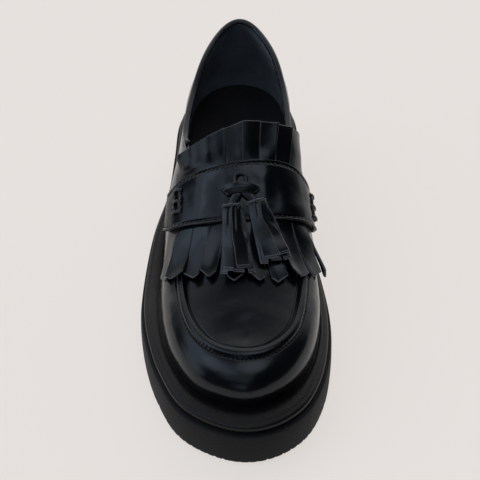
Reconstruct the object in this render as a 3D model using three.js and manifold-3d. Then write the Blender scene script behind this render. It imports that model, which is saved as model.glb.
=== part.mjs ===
// Tassel loafer for the right foot, on a thick platform sole with a fringed kiltie under its saddle strap.
// Millimetres, +Z up, toe towards -Y, medial side towards +X. The shoe stands on its tread at z = 0,
// with the origin under the middle of its box.
import * as THREE from "three";
import { mergeVertices } from "three/addons/utils/BufferGeometryUtils.js";
import Module from "manifold-3d";

const wasm = await Module();
wasm.setup();

// Last and upper
const LAST_LENGTH = 257;
const BALL_WIDTH = 91;
const BACK_HEIGHT = 56;
const INSTEP_HEIGHT = 64.5;
const TOE_HEIGHT = 23.1;
const SPINE_OFFSET = 4;
const UPPER_WALL = 2.2;
const APRON_RECESS = 1.6;

// Bottom unit
const FOREFOOT_THICKNESS = 24;
const MIDSOLE_THICKNESS = 5.5;
const HEEL_RISE = 14.5;
const TOE_SPRING = 1.2;
const TOE_LEDGE = 17;
const MIDSOLE_INSET = 1.8;
const MIDSOLE_EDGE_RADIUS = 2.4;
const LEDGE_SLOPE = 1.2;
const GROOVE_DEPTH = 1.6;
const GROOVE_RISE = 1.6;
const EDGE_ROUND = 0.9;
const TREAD_BEVEL = 0.8;
const ARCH_HEIGHT = 9;
const INSOLE_THICKNESS = 3.5;
const INSOLE_EASE = 0.45;

// Pieces on the instep
const KILTIE_THICKNESS = 1.4;
const KILTIE_STRIPS = 10;
const KILTIE_WIDTH = 93;
const KILTIE_OFFSET = -2.3;
const SLIT_WIDTH = 0.6;
const FRINGE_LENGTH = 37;
const FRINGE_POINT = 4.5;
const STRAP_WIDTH = 36;
const STRAP_THICKNESS = 1.8;
const STRAP_LIP = 0.5;
const STRAP_REACH = 55;
const STRAP_CORNER = 4;
const STRAP_ROW = 5.67;
const INSTEP_TILT = THREE.MathUtils.degToRad(27);
const BINDING_WIDTH = 3.6;
const BINDING_HEIGHT = 2.6;
const LACE_WIDTH = 4.2;
const LACE_THICKNESS = 1.8;
const TASSEL_STRIP_WIDTH = 4.8;
const TASSEL_STRIP_THICKNESS = 1.5;

// Touching pieces keep this clearance.
const GAP = 0.3;

// Added where two curved pieces lie on each other, for the flats that their curves are made of.
const FACET_EASE = 0.2;

// Shares of the last's length from the heel, where the bottom's profile changes
const HEEL_SEAT_AT = 0.22;
const HEEL_BREAST_AT = 0.29;
const ARCH_END_AT = 0.53;
const BALL_AT = 0.68;
const SPRING_AT = 0.78;

const HEEL_Y = LAST_LENGTH * 0.52;
const HALF_BALL = BALL_WIDTH / 2;

const table = (columns, rows) =>
  rows.map((row) => Object.fromEntries(columns.map((name, i) => [name, row[i]])));

// One row for each section round the last, from the back of the heel along the lateral side to the toe
// and back along the medial side. along and across place the feather edge, edgeAlong and edgeAcross the
// top edge, as shares of LAST_LENGTH and HALF_BALL. rise is the top edge's height over the platform.
// bulge, lift, reach and drop shape the wall between them, as shares of rise. ledge is how far the sole
// stands out, as a share of TOE_LEDGE.
const WALL_COLUMNS = [
  "along", "across", "edgeAlong", "edgeAcross", "rise", "bulge", "lift", "reach", "drop", "ledge",
];
const wallTable = table(WALL_COLUMNS, [
  [0.0, 0.0, 0.018, 0.0, 1.0 * BACK_HEIGHT, 0.09, 0.4, 0.06, 0.35, 0.37],
  [0.027, -0.418, 0.041, -0.253, 0.948 * BACK_HEIGHT, 0.085, 0.4, 0.07, 0.35, 0.38],
  [0.105, -0.68, 0.128, -0.495, 0.89 * BACK_HEIGHT, 0.08, 0.42, 0.08, 0.33, 0.39],
  [0.226, -0.747, 0.241, -0.659, 0.765 * BACK_HEIGHT, 0.06, 0.42, 0.05, 0.3, 0.37],
  [0.35, -0.802, 0.358, -0.736, 0.77 * BACK_HEIGHT, 0.07, 0.42, 0.06, 0.3, 0.42],
  [0.467, -0.915, 0.44, -0.675, 0.783 * INSTEP_HEIGHT, 0.075, 0.45, 0.15, 0.22, 0.6],
  [0.591, -0.967, 0.599, -0.714, 0.58 * INSTEP_HEIGHT, 0.06, 0.5, 0.22, 0.17, 0.73],
  [0.697, -1.0, 0.7, -0.695, 0.433 * INSTEP_HEIGHT, 0.08, 0.56, 0.3, 0.14, 0.71],
  [0.798, -0.945, 0.79, -0.615, 1.1 * TOE_HEIGHT, 0.09, 0.6, 0.4, 0.1, 0.635],
  [0.885, -0.791, 0.854, -0.462, 1.05 * TOE_HEIGHT, 0.1, 0.62, 0.5, 0.08, 0.65],
  [0.963, -0.484, 0.891, -0.242, 1.0 * TOE_HEIGHT, 0.11, 0.64, 0.56, 0.07, 0.83],
  [1.0, 0.066, 0.905, 0.066, 1.0 * TOE_HEIGHT, 0.12, 0.66, 0.6, 0.07, 1.0],
  [0.967, 0.528, 0.893, 0.352, 1.026 * TOE_HEIGHT, 0.11, 0.64, 0.56, 0.07, 0.9],
  [0.895, 0.835, 0.85, 0.593, 1.087 * TOE_HEIGHT, 0.1, 0.62, 0.48, 0.09, 0.62],
  [0.802, 0.978, 0.786, 0.703, 1.16 * TOE_HEIGHT, 0.09, 0.6, 0.38, 0.11, 0.47],
  [0.7, 1.0, 0.7, 0.758, 0.464 * INSTEP_HEIGHT, 0.08, 0.56, 0.28, 0.15, 0.42],
  [0.591, 0.905, 0.599, 0.75, 0.597 * INSTEP_HEIGHT, 0.06, 0.5, 0.2, 0.18, 0.42],
  [0.467, 0.745, 0.44, 0.69, 0.798 * INSTEP_HEIGHT, 0.05, 0.45, 0.12, 0.22, 0.42],
  [0.35, 0.648, 0.358, 0.67, 0.775 * BACK_HEIGHT, 0.05, 0.42, 0.02, 0.3, 0.4],
  [0.226, 0.659, 0.241, 0.625, 0.773 * BACK_HEIGHT, 0.06, 0.42, 0.04, 0.3, 0.37],
  [0.105, 0.637, 0.128, 0.495, 0.89 * BACK_HEIGHT, 0.08, 0.42, 0.08, 0.33, 0.37],
  [0.027, 0.407, 0.041, 0.253, 0.948 * BACK_HEIGHT, 0.085, 0.4, 0.07, 0.35, 0.38],
]);
const TOE_ROW = 11;
const THROAT_ROW = 5;
const CONE_ROW = 3;
const ROWS = wallTable.length;

// The crest of the instep, a row for each pair of sections from CONE_ROW to TOE_ROW.
const spineTable = table(["along", "height"], [
  [0.24, 1.15 * INSTEP_HEIGHT],
  [0.345, 1.12 * INSTEP_HEIGHT],
  [0.451, 1.0 * INSTEP_HEIGHT],
  [0.599, 0.736 * INSTEP_HEIGHT],
  [0.693, 0.58 * INSTEP_HEIGHT],
  [0.763, 0.495 * INSTEP_HEIGHT],
  [0.81, 0.454 * INSTEP_HEIGHT],
  [0.844, 1.156 * TOE_HEIGHT],
  [0.872, 1.078 * TOE_HEIGHT],
]);

// Each fringe strip, lateral to medial: how far its tip swings sideways, how far it lifts, and how much
// longer it is than FRINGE_LENGTH, all at the tip.
const fringeTable = table(["swing", "lift", "extra"], [
  [-5.9, 1.4, -3.0],
  [-5.7, 2.4, -2.0],
  [-6.0, 1.4, -1.5],
  [-5.3, 2.4, -1.5],
  [0.6, 1.0, 1.0],
  [4.2, 1.6, 1.5],
  [7.2, 0.9, 1.5],
  [9.2, 1.9, -2.0],
  [10.8, 1.4, -5.0],
  [12.5, 3.4, -8.0],
]);

// The flap behind the strap, one row for each slit and end, lateral to medial: how far the flap's top edge
// reaches there behind the plain band, and how far it flares up.
const flapTable = table(["length", "flare"], [
  [5.0, 0.6],
  [9.0, 0.9],
  [12.3, 1.3],
  [16.3, 2.0],
  [20.0, 3.0],
  [23.6, 4.2],
  [24.0, 4.5],
  [23.4, 4.4],
  [23.5, 4.2],
  [24.5, 3.0],
  [22.0, 1.4],
]);

// The strap's two edges, lateral to medial. at is a share of STRAP_REACH from the crest, back and front
// are shares of STRAP_WIDTH from the strap's middle line.
const strapTable = table(["at", "back", "front"], [
  [-1.0, -0.06, 0.43],
  [-0.94, -0.125, 0.5],
  [-0.83, -0.17, 0.55],
  [-0.69, -0.29, 0.555],
  [-0.41, -0.395, 0.535],
  [-0.17, -0.475, 0.495],
  [0.06, -0.515, 0.478],
  [0.28, -0.515, 0.472],
  [0.44, -0.485, 0.472],
  [0.55, -0.42, 0.467],
  [0.69, -0.305, 0.46],
  [0.83, -0.195, 0.485],
  [0.94, -0.14, 0.47],
  [1.0, -0.08, 0.4],
]);

// Strips of one tassel: sideways place at the cap and at the tip as shares of the tassel's half width,
// the layer it lies in, and its length as a share of the tassel's length.
const tasselTable = table(["top", "tip", "layer", "length"], [
  [-0.36, -0.76, 0, 0.97],
  [0.0, -0.04, 0, 1.0],
  [0.36, 0.78, 0, 0.94],
  [-0.24, -0.5, 1, 0.99],
  [0.24, 0.4, 1, 0.96],
]);
const TASSEL_HALF_WIDTH = 7.2;
const TASSEL_LENGTH = 44;
const TASSEL_CAP_LENGTH = 5;
const TASSEL_CAP_WIDTH = 10.4;

const clamp = (value, low, high) => Math.min(Math.max(value, low), high);
const ease = (share) => clamp(share, 0, 1) ** 2 * (3 - 2 * clamp(share, 0, 1));
const mix = (a, b, share) => a + (b - a) * share;

// A smooth curve through b and c, with a and d on either side.
const cubicThrough = (a, b, c, d, t) =>
  b + 0.5 * t * (c - a + t * (2 * a - 5 * b + 4 * c - d + t * (3 * (b - c) + d - a)));

// A table's columns at a row number that may lie between rows. A closed table wraps round.
function rowAt(rows, at, closed) {
  const count = rows.length;
  const first = closed ? Math.floor(at) : clamp(Math.floor(at), 0, count - 2);
  const pick = (i) => (closed ? rows[((i % count) + count) % count] : rows[clamp(i, 0, count - 1)]);
  const [a, b, c, d] = [pick(first - 1), pick(first), pick(first + 1), pick(first + 2)];
  const share = at - first;
  return Object.fromEntries(
    Object.keys(b).map((name) => [name, cubicThrough(a[name], b[name], c[name], d[name], share)]),
  );
}

// Height of the outsole's top, where the midsole is glued on.
function outsoleTop(along) {
  const heel = ease((BALL_AT - along) / (BALL_AT - HEEL_SEAT_AT));
  return FOREFOOT_THICKNESS + HEEL_RISE * heel + springAt(along);
}

function springAt(along) {
  return TOE_SPRING * (Math.max(0, along - SPRING_AT) / (1 - SPRING_AT)) ** 2;
}

const alongOf = (y) => (HEEL_Y - y) / LAST_LENGTH;
const platformTop = (along) => outsoleTop(along) + GAP + MIDSOLE_THICKNESS;

// The feather edge in plan at a place round the last.
function featherPoint(p) {
  const row = rowAt(wallTable, p, true);
  return new THREE.Vector2(row.across * HALF_BALL, HEEL_Y - row.along * LAST_LENGTH);
}

// The outward direction of the feather edge in plan.
function featherNormal(p) {
  const step = 0.05;
  const tangent = featherPoint(p + step).sub(featherPoint(p - step)).normalize();
  return new THREE.Vector2(tangent.y, -tangent.x);
}

// The point of the last's surface at a place p round it. u runs from the feather edge, 0, over the
// wall's top edge, 1, to the crest of the instep, 2.
function lastPoint(p, u) {
  const row = rowAt(wallTable, p, true);
  const foot = new THREE.Vector3(
    row.across * HALF_BALL,
    HEEL_Y - row.along * LAST_LENGTH,
    platformTop(row.along) + GAP,
  );
  const edge = new THREE.Vector3(
    row.edgeAcross * HALF_BALL,
    HEEL_Y - row.edgeAlong * LAST_LENGTH,
    foot.z + row.rise,
  );
  const out = featherNormal(p);
  const shoulder = new THREE.Vector3(out.x, out.y, 0).multiplyScalar(row.reach * row.rise).add(edge);
  shoulder.z -= row.drop * row.rise;
  if (u <= 1) {
    const low = new THREE.Vector3(out.x, out.y, 0).multiplyScalar(row.bulge * row.rise).add(foot);
    low.z += row.lift * row.rise;
    return new THREE.CubicBezierCurve3(foot, low, shoulder, edge).getPoint(u);
  }
  const crest = crestPoint(p);
  const across = crest.point.clone().sub(edge);
  const third = 0.36;
  const leave = edge.clone().sub(shoulder).normalize();
  const low = edge.clone().addScaledVector(leave, third * across.length());
  const high = crest.point.clone().addScaledVector(across, -third);
  high.z = crest.point.z - crest.slope * across.y * third;
  return new THREE.CubicBezierCurve3(edge, low, high, crest.point).getPoint(u - 1);
}

// The crest of the instep that the section at p runs up to, and the crest's slope there.
function crestPoint(p) {
  const wrapped = ((p % ROWS) + ROWS) % ROWS;
  const fold = wrapped <= TOE_ROW ? wrapped : 2 * TOE_ROW - wrapped;
  const at = (q) => {
    const row = rowAt(spineTable, q - CONE_ROW, false);
    return new THREE.Vector3(
      SPINE_OFFSET,
      HEEL_Y - row.along * LAST_LENGTH,
      platformTop(row.along) + GAP + row.height,
    );
  };
  const step = 0.1;
  const behind = at(Math.max(fold - step, CONE_ROW));
  const ahead = at(Math.min(fold + step, TOE_ROW));
  return { point: at(fold), slope: (behind.z - ahead.z) / (behind.y - ahead.y) };
}

// The last's outward normal, averaged over the seam between wall and apron.
function lastNormal(p, u) {
  if (u >= 2) {
    return new THREE.Vector3(0, -crestPoint(p).slope, 1).normalize();
  }
  const step = 0.04;
  const round = lastPoint(p + step, u).sub(lastPoint(p - step, u));
  const up = lastPoint(p, Math.min(u + step, 2)).sub(lastPoint(p, Math.max(u - step, 0)));
  const normal = new THREE.Vector3().crossVectors(round, up).normalize();
  const outward = featherNormal(p);
  const side = normal.x * outward.x + normal.y * outward.y + normal.z;
  return side < 0 ? normal.negate() : normal;
}

// Collects faces by their corner points and closes them into one solid.
class Shell {
  constructor() {
    this.corners = [];
  }

  triangle(a, b, c) {
    this.corners.push(a, b, c);
  }

  quad(a, b, c, d) {
    this.triangle(a, b, c);
    this.triangle(a, c, d);
  }

  // Joins two rows of points that have the same count.
  strip(low, high) {
    for (let i = 0; i + 1 < low.length; i += 1) {
      this.quad(low[i], low[i + 1], high[i + 1], high[i]);
    }
  }

  solid() {
    const geometry = new THREE.BufferGeometry().setFromPoints(this.corners);
    return solidOf(geometry);
  }
}

// A closed surface as a solid, with shared corners merged and collapsed faces left out.
function solidOf(geometry) {
  const bare = new THREE.BufferGeometry();
  const source = geometry.index ? geometry.toNonIndexed() : geometry;
  bare.setAttribute("position", source.getAttribute("position"));
  const merged = mergeVertices(bare, 1e-3);
  const faces = [];
  for (let i = 0; i < merged.index.count; i += 3) {
    const [a, b, c] = [0, 1, 2].map((k) => merged.index.getX(i + k));
    if (a !== b && b !== c && a !== c) faces.push(a, b, c);
  }
  const mesh = new wasm.Mesh({
    numProp: 3,
    vertProperties: merged.attributes.position.array,
    triVerts: new Uint32Array(faces),
  });
  return new wasm.Manifold(mesh);
}

function geometryOf(solid) {
  const mesh = solid.getMesh();
  const geometry = new THREE.BufferGeometry();
  const points = new Float32Array(mesh.numVert * 3);
  for (let i = 0; i < mesh.numVert; i += 1) {
    points.set(mesh.vertProperties.subarray(i * mesh.numProp, i * mesh.numProp + 3), i * 3);
  }
  geometry.setAttribute("position", new THREE.BufferAttribute(points, 3));
  geometry.setIndex(new THREE.BufferAttribute(mesh.triVerts, 1));
  geometry.computeVertexNormals();
  return geometry;
}

const steps = (from, to, count) =>
  Array.from({ length: count + 1 }, (_, i) => from + ((to - from) * i) / count);

// A column of a table whose rows are placed by their at column.
const lerpTable = (rows, at, column = "height") => {
  const next = rows.findIndex((row) => row.at > at);
  if (next === 0) return rows[0][column];
  if (next < 0) return rows[rows.length - 1][column];
  const [a, b] = [rows[next - 1], rows[next]];
  return mix(a[column], b[column], (at - a.at) / (b.at - a.at));
};

// Relief of the moccasin seam on the outer surface: the stitch groove, the rolled ridge and the apron set
// in behind it, against u.
const reliefTable = table(["at", "height"], [
  [0.72, 0],
  [0.765, 0.15],
  [0.785, -0.8],
  [0.805, 0.2],
  [0.86, 0.9],
  [0.93, 0.9],
  [0.985, 0.2],
  [1.0, -0.5],
  [1.03, -APRON_RECESS],
  [2.0, -APRON_RECESS],
]);

// Relief of the surface that the kiltie lies on: it rests on the ridge and sinks towards the apron.
const coverTable = table(["at", "height"], [
  [0.7, 0],
  [0.8, 0.6],
  [0.86, 1.1],
  [0.98, 1.1],
  [1.1, 0.5],
  [1.4, -1.1],
  [2.0, -APRON_RECESS],
]);

// The seam fades out under the strap.
function seamStrength(p) {
  const past = Math.min(p, 2 * TOE_ROW - p) - THROAT_ROW;
  return ease((past - 0.6) / 1.0);
}

const relief = (p, u) => seamStrength(p) * lerpTable(reliefTable, u);
const apronLining = (p, u) => seamStrength(p) * APRON_RECESS * ease((u - 0.85) / 0.22);

const coverPoint = (p, u) =>
  lastPoint(p, u).addScaledVector(lastNormal(p, u), seamStrength(p) * lerpTable(coverTable, u));
const outerPoint = (p, u) => lastPoint(p, u).addScaledVector(lastNormal(p, u), relief(p, u));

function innerPoint(p, u) {
  const depth = UPPER_WALL + apronLining(p, u);
  const point = lastPoint(p, u).addScaledVector(lastNormal(p, u), -depth);
  if (u === 0) point.z = lastPoint(p, 0).z;
  return point;
}

const PER_ROW = 3;
const ringStations = steps(0, ROWS, ROWS * PER_ROW);
const vampStations = steps(THROAT_ROW, 2 * TOE_ROW - THROAT_ROW, (2 * (TOE_ROW - THROAT_ROW)) * PER_ROW);
const collarStations = steps(
  2 * TOE_ROW - THROAT_ROW,
  ROWS + THROAT_ROW,
  2 * THROAT_ROW * PER_ROW,
);
const wallLevels = [0, 0.13, 0.27, 0.42, 0.57, 0.7, 0.765, 0.785, 0.805, 0.86, 0.93, 0.985, 1];
const liningLevels = [0, 0.15, 0.3, 0.45, 0.6, 0.74, 0.87, 1];
const vampLevels = [1, 1.03, 1.12, 1.3, 1.5, 1.75, 2];

function upperSolid() {
  const shell = new Shell();
  const row = (stations, u, place) => stations.map((p) => place(p, u));
  const surface = (stations, levels, place) => {
    for (let i = 0; i + 1 < levels.length; i += 1) {
      const [low, high] = [row(stations, levels[i], place), row(stations, levels[i + 1], place)];
      if (place === outerPoint) shell.strip(low, high);
      else shell.strip(high, low);
    }
  };
  surface(ringStations, wallLevels, outerPoint);
  surface(vampStations, vampLevels, outerPoint);
  surface(ringStations, liningLevels, innerPoint);
  surface(vampStations, vampLevels, innerPoint);
  shell.strip(row(ringStations, 0, innerPoint), row(ringStations, 0, outerPoint));
  shell.strip(row(collarStations, 1, outerPoint), row(collarStations, 1, innerPoint));
  const [lateral, medial] = [THROAT_ROW, 2 * TOE_ROW - THROAT_ROW];
  const column = (p, place) => vampLevels.map((u) => place(p, u));
  shell.strip(column(lateral, outerPoint), column(lateral, innerPoint));
  shell.strip(column(medial, innerPoint), column(medial, outerPoint));
  return shell.solid();
}

// A closed plate or block from rings of points, bottom to top. Each ring holds the same stations.
function stackSolid(rings) {
  const shell = new Shell();
  for (let i = 0; i + 1 < rings.length; i += 1) shell.strip(rings[i], rings[i + 1]);
  const half = (rings[0].length - 1) / 2;
  const cap = (ring, up) => {
    const across = (i) => [ring[i], ring[2 * half - i]];
    for (let i = 0; i < half; i += 1) {
      const [a, b] = across(i);
      const [c, d] = across(i + 1);
      if (up) shell.quad(a, c, d, b);
      else shell.quad(b, d, c, a);
    }
  };
  cap(rings[0], false);
  cap(rings[rings.length - 1], true);
  return shell.solid();
}

// A point on the sole's side, set in from the outsole's edge.
function sidePoint(p, inset, height) {
  const row = rowAt(wallTable, p, true);
  const out = featherNormal(p).multiplyScalar(row.ledge * TOE_LEDGE - inset);
  const plan = featherPoint(p).add(out);
  return new THREE.Vector3(plan.x, plan.y, height(alongOf(plan.y)));
}

const soleStations = steps(0, ROWS, ROWS * PER_ROW);

// Underside of the outsole: flat under heel and ball, cut away at the arch, sprung at the toe.
function treadHeight(along) {
  const breast = ease((along - HEEL_BREAST_AT) / 0.035);
  const rise = 1 - ease((along - HEEL_BREAST_AT - 0.05) / (ARCH_END_AT - HEEL_BREAST_AT - 0.05));
  return ARCH_HEIGHT * breast * rise + springAt(along);
}

function outsoleSolid() {
  const ring = (inset, height) => soleStations.map((p) => sidePoint(p, inset, height));
  const recess = MIDSOLE_INSET + GROOVE_DEPTH;
  return stackSolid([
    ring(TREAD_BEVEL, treadHeight),
    ring(0, (along) => treadHeight(along) + TREAD_BEVEL),
    ring(-0.5, (along) => mix(treadHeight(along), outsoleTop(along), 0.45)),
    ring(0, (along) => outsoleTop(along) - GROOVE_RISE - EDGE_ROUND),
    ring(EDGE_ROUND, (along) => outsoleTop(along) - GROOVE_RISE),
    ring(recess, (along) => outsoleTop(along) - GROOVE_RISE + 0.3),
    ring(recess, outsoleTop),
  ]);
}

// Grooves across the tread, open at both sides.
const TREAD_GROOVE_WIDTH = 1.8;
const TREAD_GROOVE_DEPTH = 1.3;
const treadTable = table(["from", "to", "count"], [
  [0.05, 0.26, 6],
  [0.57, 0.9, 9],
]);

function box(width, length, height, at, turn = 0) {
  const geometry = new THREE.BoxGeometry(width, length, height);
  geometry.rotateX(turn);
  geometry.translate(at.x, at.y, at.z);
  return solidOf(geometry);
}

function treadedOutsole() {
  let body = outsoleSolid();
  for (const band of treadTable) {
    for (const along of steps(band.from, band.to, band.count - 1)) {
      const y = HEEL_Y - along * LAST_LENGTH;
      const slope = (springAt(along + 0.01) - springAt(along - 0.01)) / (0.02 * LAST_LENGTH);
      const at = new THREE.Vector3(0, y, springAt(along) + TREAD_GROOVE_DEPTH - 5);
      body = body.subtract(box(2 * BALL_WIDTH, TREAD_GROOVE_WIDTH, 10, at, -Math.atan(slope)));
    }
  }
  return body;
}

// A point at a signed distance outside the feather edge.
function aroundFeather(p, out, height) {
  const plan = featherPoint(p).addScaledVector(featherNormal(p), out);
  return new THREE.Vector3(plan.x, plan.y, height(alongOf(plan.y)));
}

function midsoleSolid() {
  const foot = (along) => outsoleTop(along) + GAP;
  const side = (inset, rise) =>
    soleStations.map((p) => sidePoint(p, MIDSOLE_INSET + inset, (along) => foot(along) + rise));
  const top = MIDSOLE_THICKNESS;
  return stackSolid([
    side(1.1, 0),
    side(0.2, 0.9),
    side(0, 2.2),
    side(0.4, top - LEDGE_SLOPE - 1),
    side(MIDSOLE_EDGE_RADIUS, top - LEDGE_SLOPE),
    soleStations.map((p) => aroundFeather(p, 0.8, platformTop)),
    soleStations.map((p) => aroundFeather(p, -4, platformTop)),
  ]);
}

function insoleSolid() {
  const seat = (along) => platformTop(along) + GAP;
  const inside = -UPPER_WALL - INSOLE_EASE;
  const ring = (inset, rise) =>
    soleStations.map((p) => aroundFeather(p, inside - inset, (along) => seat(along) + rise));
  return stackSolid([
    ring(0.4, 0),
    ring(0, 0.8),
    ring(0, INSOLE_THICKNESS - 0.8),
    ring(0.9, INSOLE_THICKNESS),
  ]);
}

// The rolled binding along the collar, an oval cord of leather sitting on the upper's rim.
const COLLAR_FROM = 17.72;
const COLLAR_TO = ROWS + 4.6;

function bindingSolid() {
  const stations = steps(COLLAR_FROM, COLLAR_TO, 44);
  const around = 8;
  const middle = (p) => lastPoint(p, 1).addScaledVector(lastNormal(p, 1), -UPPER_WALL / 2);
  const ring = (p) => {
    const centre = middle(p);
    const tangent = middle(p + 0.05).sub(middle(p - 0.05)).normalize();
    const across = lastNormal(p, 1);
    across.addScaledVector(tangent, -across.dot(tangent)).normalize();
    const up = new THREE.Vector3().crossVectors(across, tangent).normalize();
    if (up.z < 0) up.negate();
    return steps(0, 2 * Math.PI, around).map((angle) =>
      centre
        .clone()
        .addScaledVector(across, (BINDING_WIDTH / 2) * Math.cos(angle))
        .addScaledVector(up, GAP + 0.15 + (BINDING_HEIGHT / 2) * (1 + Math.sin(angle))),
    );
  };
  const shell = new Shell();
  const rings = stations.map(ring);
  for (let i = 0; i + 1 < rings.length; i += 1) shell.strip(rings[i + 1], rings[i]);
  const close = (ringPoints, flip) => {
    for (let k = 1; k + 2 < ringPoints.length; k += 1) {
      const [a, b, c] = [ringPoints[0], ringPoints[k], ringPoints[k + 1]];
      if (flip) shell.triangle(a, c, b);
      else shell.triangle(a, b, c);
    }
  };
  close(rings[0], false);
  close(rings[rings.length - 1], true);
  return shell.solid();
}

// The instep as a developed sheet. t runs along the foot towards the toe from the strap's middle, and s
// runs round the instep from its crest, towards the medial side, both in millimetres.
const alongInstep = new THREE.Vector3(0, -Math.cos(INSTEP_TILT), -Math.sin(INSTEP_TILT));
const upInstep = new THREE.Vector3(0, -Math.sin(INSTEP_TILT), Math.cos(INSTEP_TILT));
const INSTEP_DEPTH = 30;
const SECTION_STEP = 3;
const SECTION_FROM = -51;
const SECTION_COUNT = 40;
const RAY_STEP = THREE.MathUtils.degToRad(4);
const RAY_COUNT = 28;

function instepForm() {
  const points = [];
  const face = (stations, levels, place) => {
    for (let i = 0; i + 1 < levels.length; i += 1) {
      for (let k = 0; k + 1 < stations.length; k += 1) {
        const [a, b] = [place(stations[k], levels[i]), place(stations[k + 1], levels[i])];
        const [c, d] = [place(stations[k + 1], levels[i + 1]), place(stations[k], levels[i + 1])];
        points.push(a, b, c, a, c, d);
      }
    }
  };
  const front = 2 * TOE_ROW;
  face(ringStations, wallLevels, coverPoint);
  face(vampStations, vampLevels, coverPoint);
  face(steps(CONE_ROW, THROAT_ROW, 6), vampLevels, lastPoint);
  face(steps(front - THROAT_ROW, front - CONE_ROW, 6), vampLevels, lastPoint);
  const geometry = new THREE.BufferGeometry().setFromPoints(points);
  return new THREE.Mesh(geometry, new THREE.MeshBasicMaterial({ side: THREE.DoubleSide }));
}

// One section of the instep: its points on each side of the crest and their distance round from it.
function instepSection(form, t) {
  const crest = crestPoint(STRAP_ROW).point;
  const origin = crest.clone().addScaledVector(upInstep, -INSTEP_DEPTH).addScaledVector(alongInstep, t);
  const caster = new THREE.Raycaster();
  const half = (side) => {
    const found = [];
    for (let k = 0; k <= RAY_COUNT; k += 1) {
      const angle = k * RAY_STEP;
      const direction = upInstep.clone().multiplyScalar(Math.cos(angle));
      direction.x = side * Math.sin(angle);
      caster.set(origin, direction.normalize());
      const hit = caster.intersectObject(form)[0];
      if (!hit) break;
      const last = found[found.length - 1];
      const round = last ? last.round + last.point.distanceTo(hit.point) : 0;
      found.push({ point: hit.point, round });
    }
    return found;
  };
  return { lateral: half(-1), medial: half(1) };
}

const form = instepForm();
const sections = steps(0, SECTION_COUNT, SECTION_COUNT).map((i) =>
  instepSection(form, SECTION_FROM + i * SECTION_STEP),
);

function sectionPoint(section, s) {
  const side = s < 0 ? section.lateral : section.medial;
  const round = Math.abs(s);
  const next = clamp(side.findIndex((spot) => spot.round > round), -1, side.length);
  const k = next < 1 ? side.length - 1 : next;
  const [a, b] = [side[k - 1], side[k]];
  return a.point.clone().lerp(b.point, (round - a.round) / (b.round - a.round));
}

function instepPoint(t, s) {
  const at = clamp((t - SECTION_FROM) / SECTION_STEP, 0, SECTION_COUNT - 1e-6);
  const i = Math.floor(at);
  return sectionPoint(sections[i], s).lerp(sectionPoint(sections[i + 1], s), at - i);
}

// A point at height h over the instep's sheet.
function overInstep(t, s, h) {
  const reach = 2.5;
  const down = instepPoint(t + reach, s).sub(instepPoint(t - reach, s));
  const round = instepPoint(t, s + reach).sub(instepPoint(t, s - reach));
  const normal = down.cross(round).normalize();
  return instepPoint(t, s).addScaledVector(normal, h);
}

// A sheet with thickness, made from cells that share named corners. Its open edges are walled in.
class Sheet {
  constructor() {
    this.places = new Map();
    this.cells = [];
  }

  corner(name, low, high) {
    this.places.set(name, { low, high });
    return name;
  }

  // Corners run anticlockwise seen from above.
  cell(...names) {
    this.cells.push(names);
  }

  solid() {
    const shell = new Shell();
    const edges = new Set();
    const pairs = (names) => names.map((name, i) => [name, names[(i + 1) % names.length]]);
    for (const names of this.cells) {
      const spots = names.map((name) => this.places.get(name));
      shell.quad(...spots.map((spot) => spot.high));
      shell.quad(...spots.map((spot) => spot.low).reverse());
      for (const [a, b] of pairs(names)) edges.add(`${a}>${b}`);
    }
    for (const names of this.cells) {
      for (const [a, b] of pairs(names)) {
        if (edges.has(`${b}>${a}`)) continue;
        const [from, to] = [this.places.get(a), this.places.get(b)];
        shell.quad(from.low, to.low, to.high, from.high);
      }
    }
    return shell.solid();
  }
}

// A rectangular sheet. place(i, k) gives a corner's { t, s, low, high }; i counts towards the toe.
function gridSheet(rows, columns, place) {
  const sheet = new Sheet();
  for (let i = 0; i <= rows; i += 1) {
    for (let k = 0; k <= columns; k += 1) {
      const spot = place(i, k);
      sheet.corner(`${i}:${k}`, overInstep(spot.t, spot.s, spot.low), overInstep(spot.t, spot.s, spot.high));
    }
  }
  for (let i = 0; i < rows; i += 1) {
    for (let k = 0; k < columns; k += 1) {
      sheet.cell(`${i}:${k}`, `${i + 1}:${k}`, `${i + 1}:${k + 1}`, `${i}:${k + 1}`);
    }
  }
  return sheet.solid();
}

const KILTIE_HALF = KILTIE_WIDTH / 2;
const KILTIE_SEAT = GAP + FACET_EASE;
const KILTIE_TOP = KILTIE_SEAT + KILTIE_THICKNESS;
const STRAP_SEAT = KILTIE_TOP + GAP + FACET_EASE;

// How high the strap lies over the instep: on the kiltie in the middle, down on the upper at its ends.
function strapSeat(s) {
  const end = KILTIE_HALF + KILTIE_OFFSET * Math.sign(s);
  return mix(STRAP_SEAT, GAP + FACET_EASE, ease((Math.abs(s) - end - 1.2) / 4));
}

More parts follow.
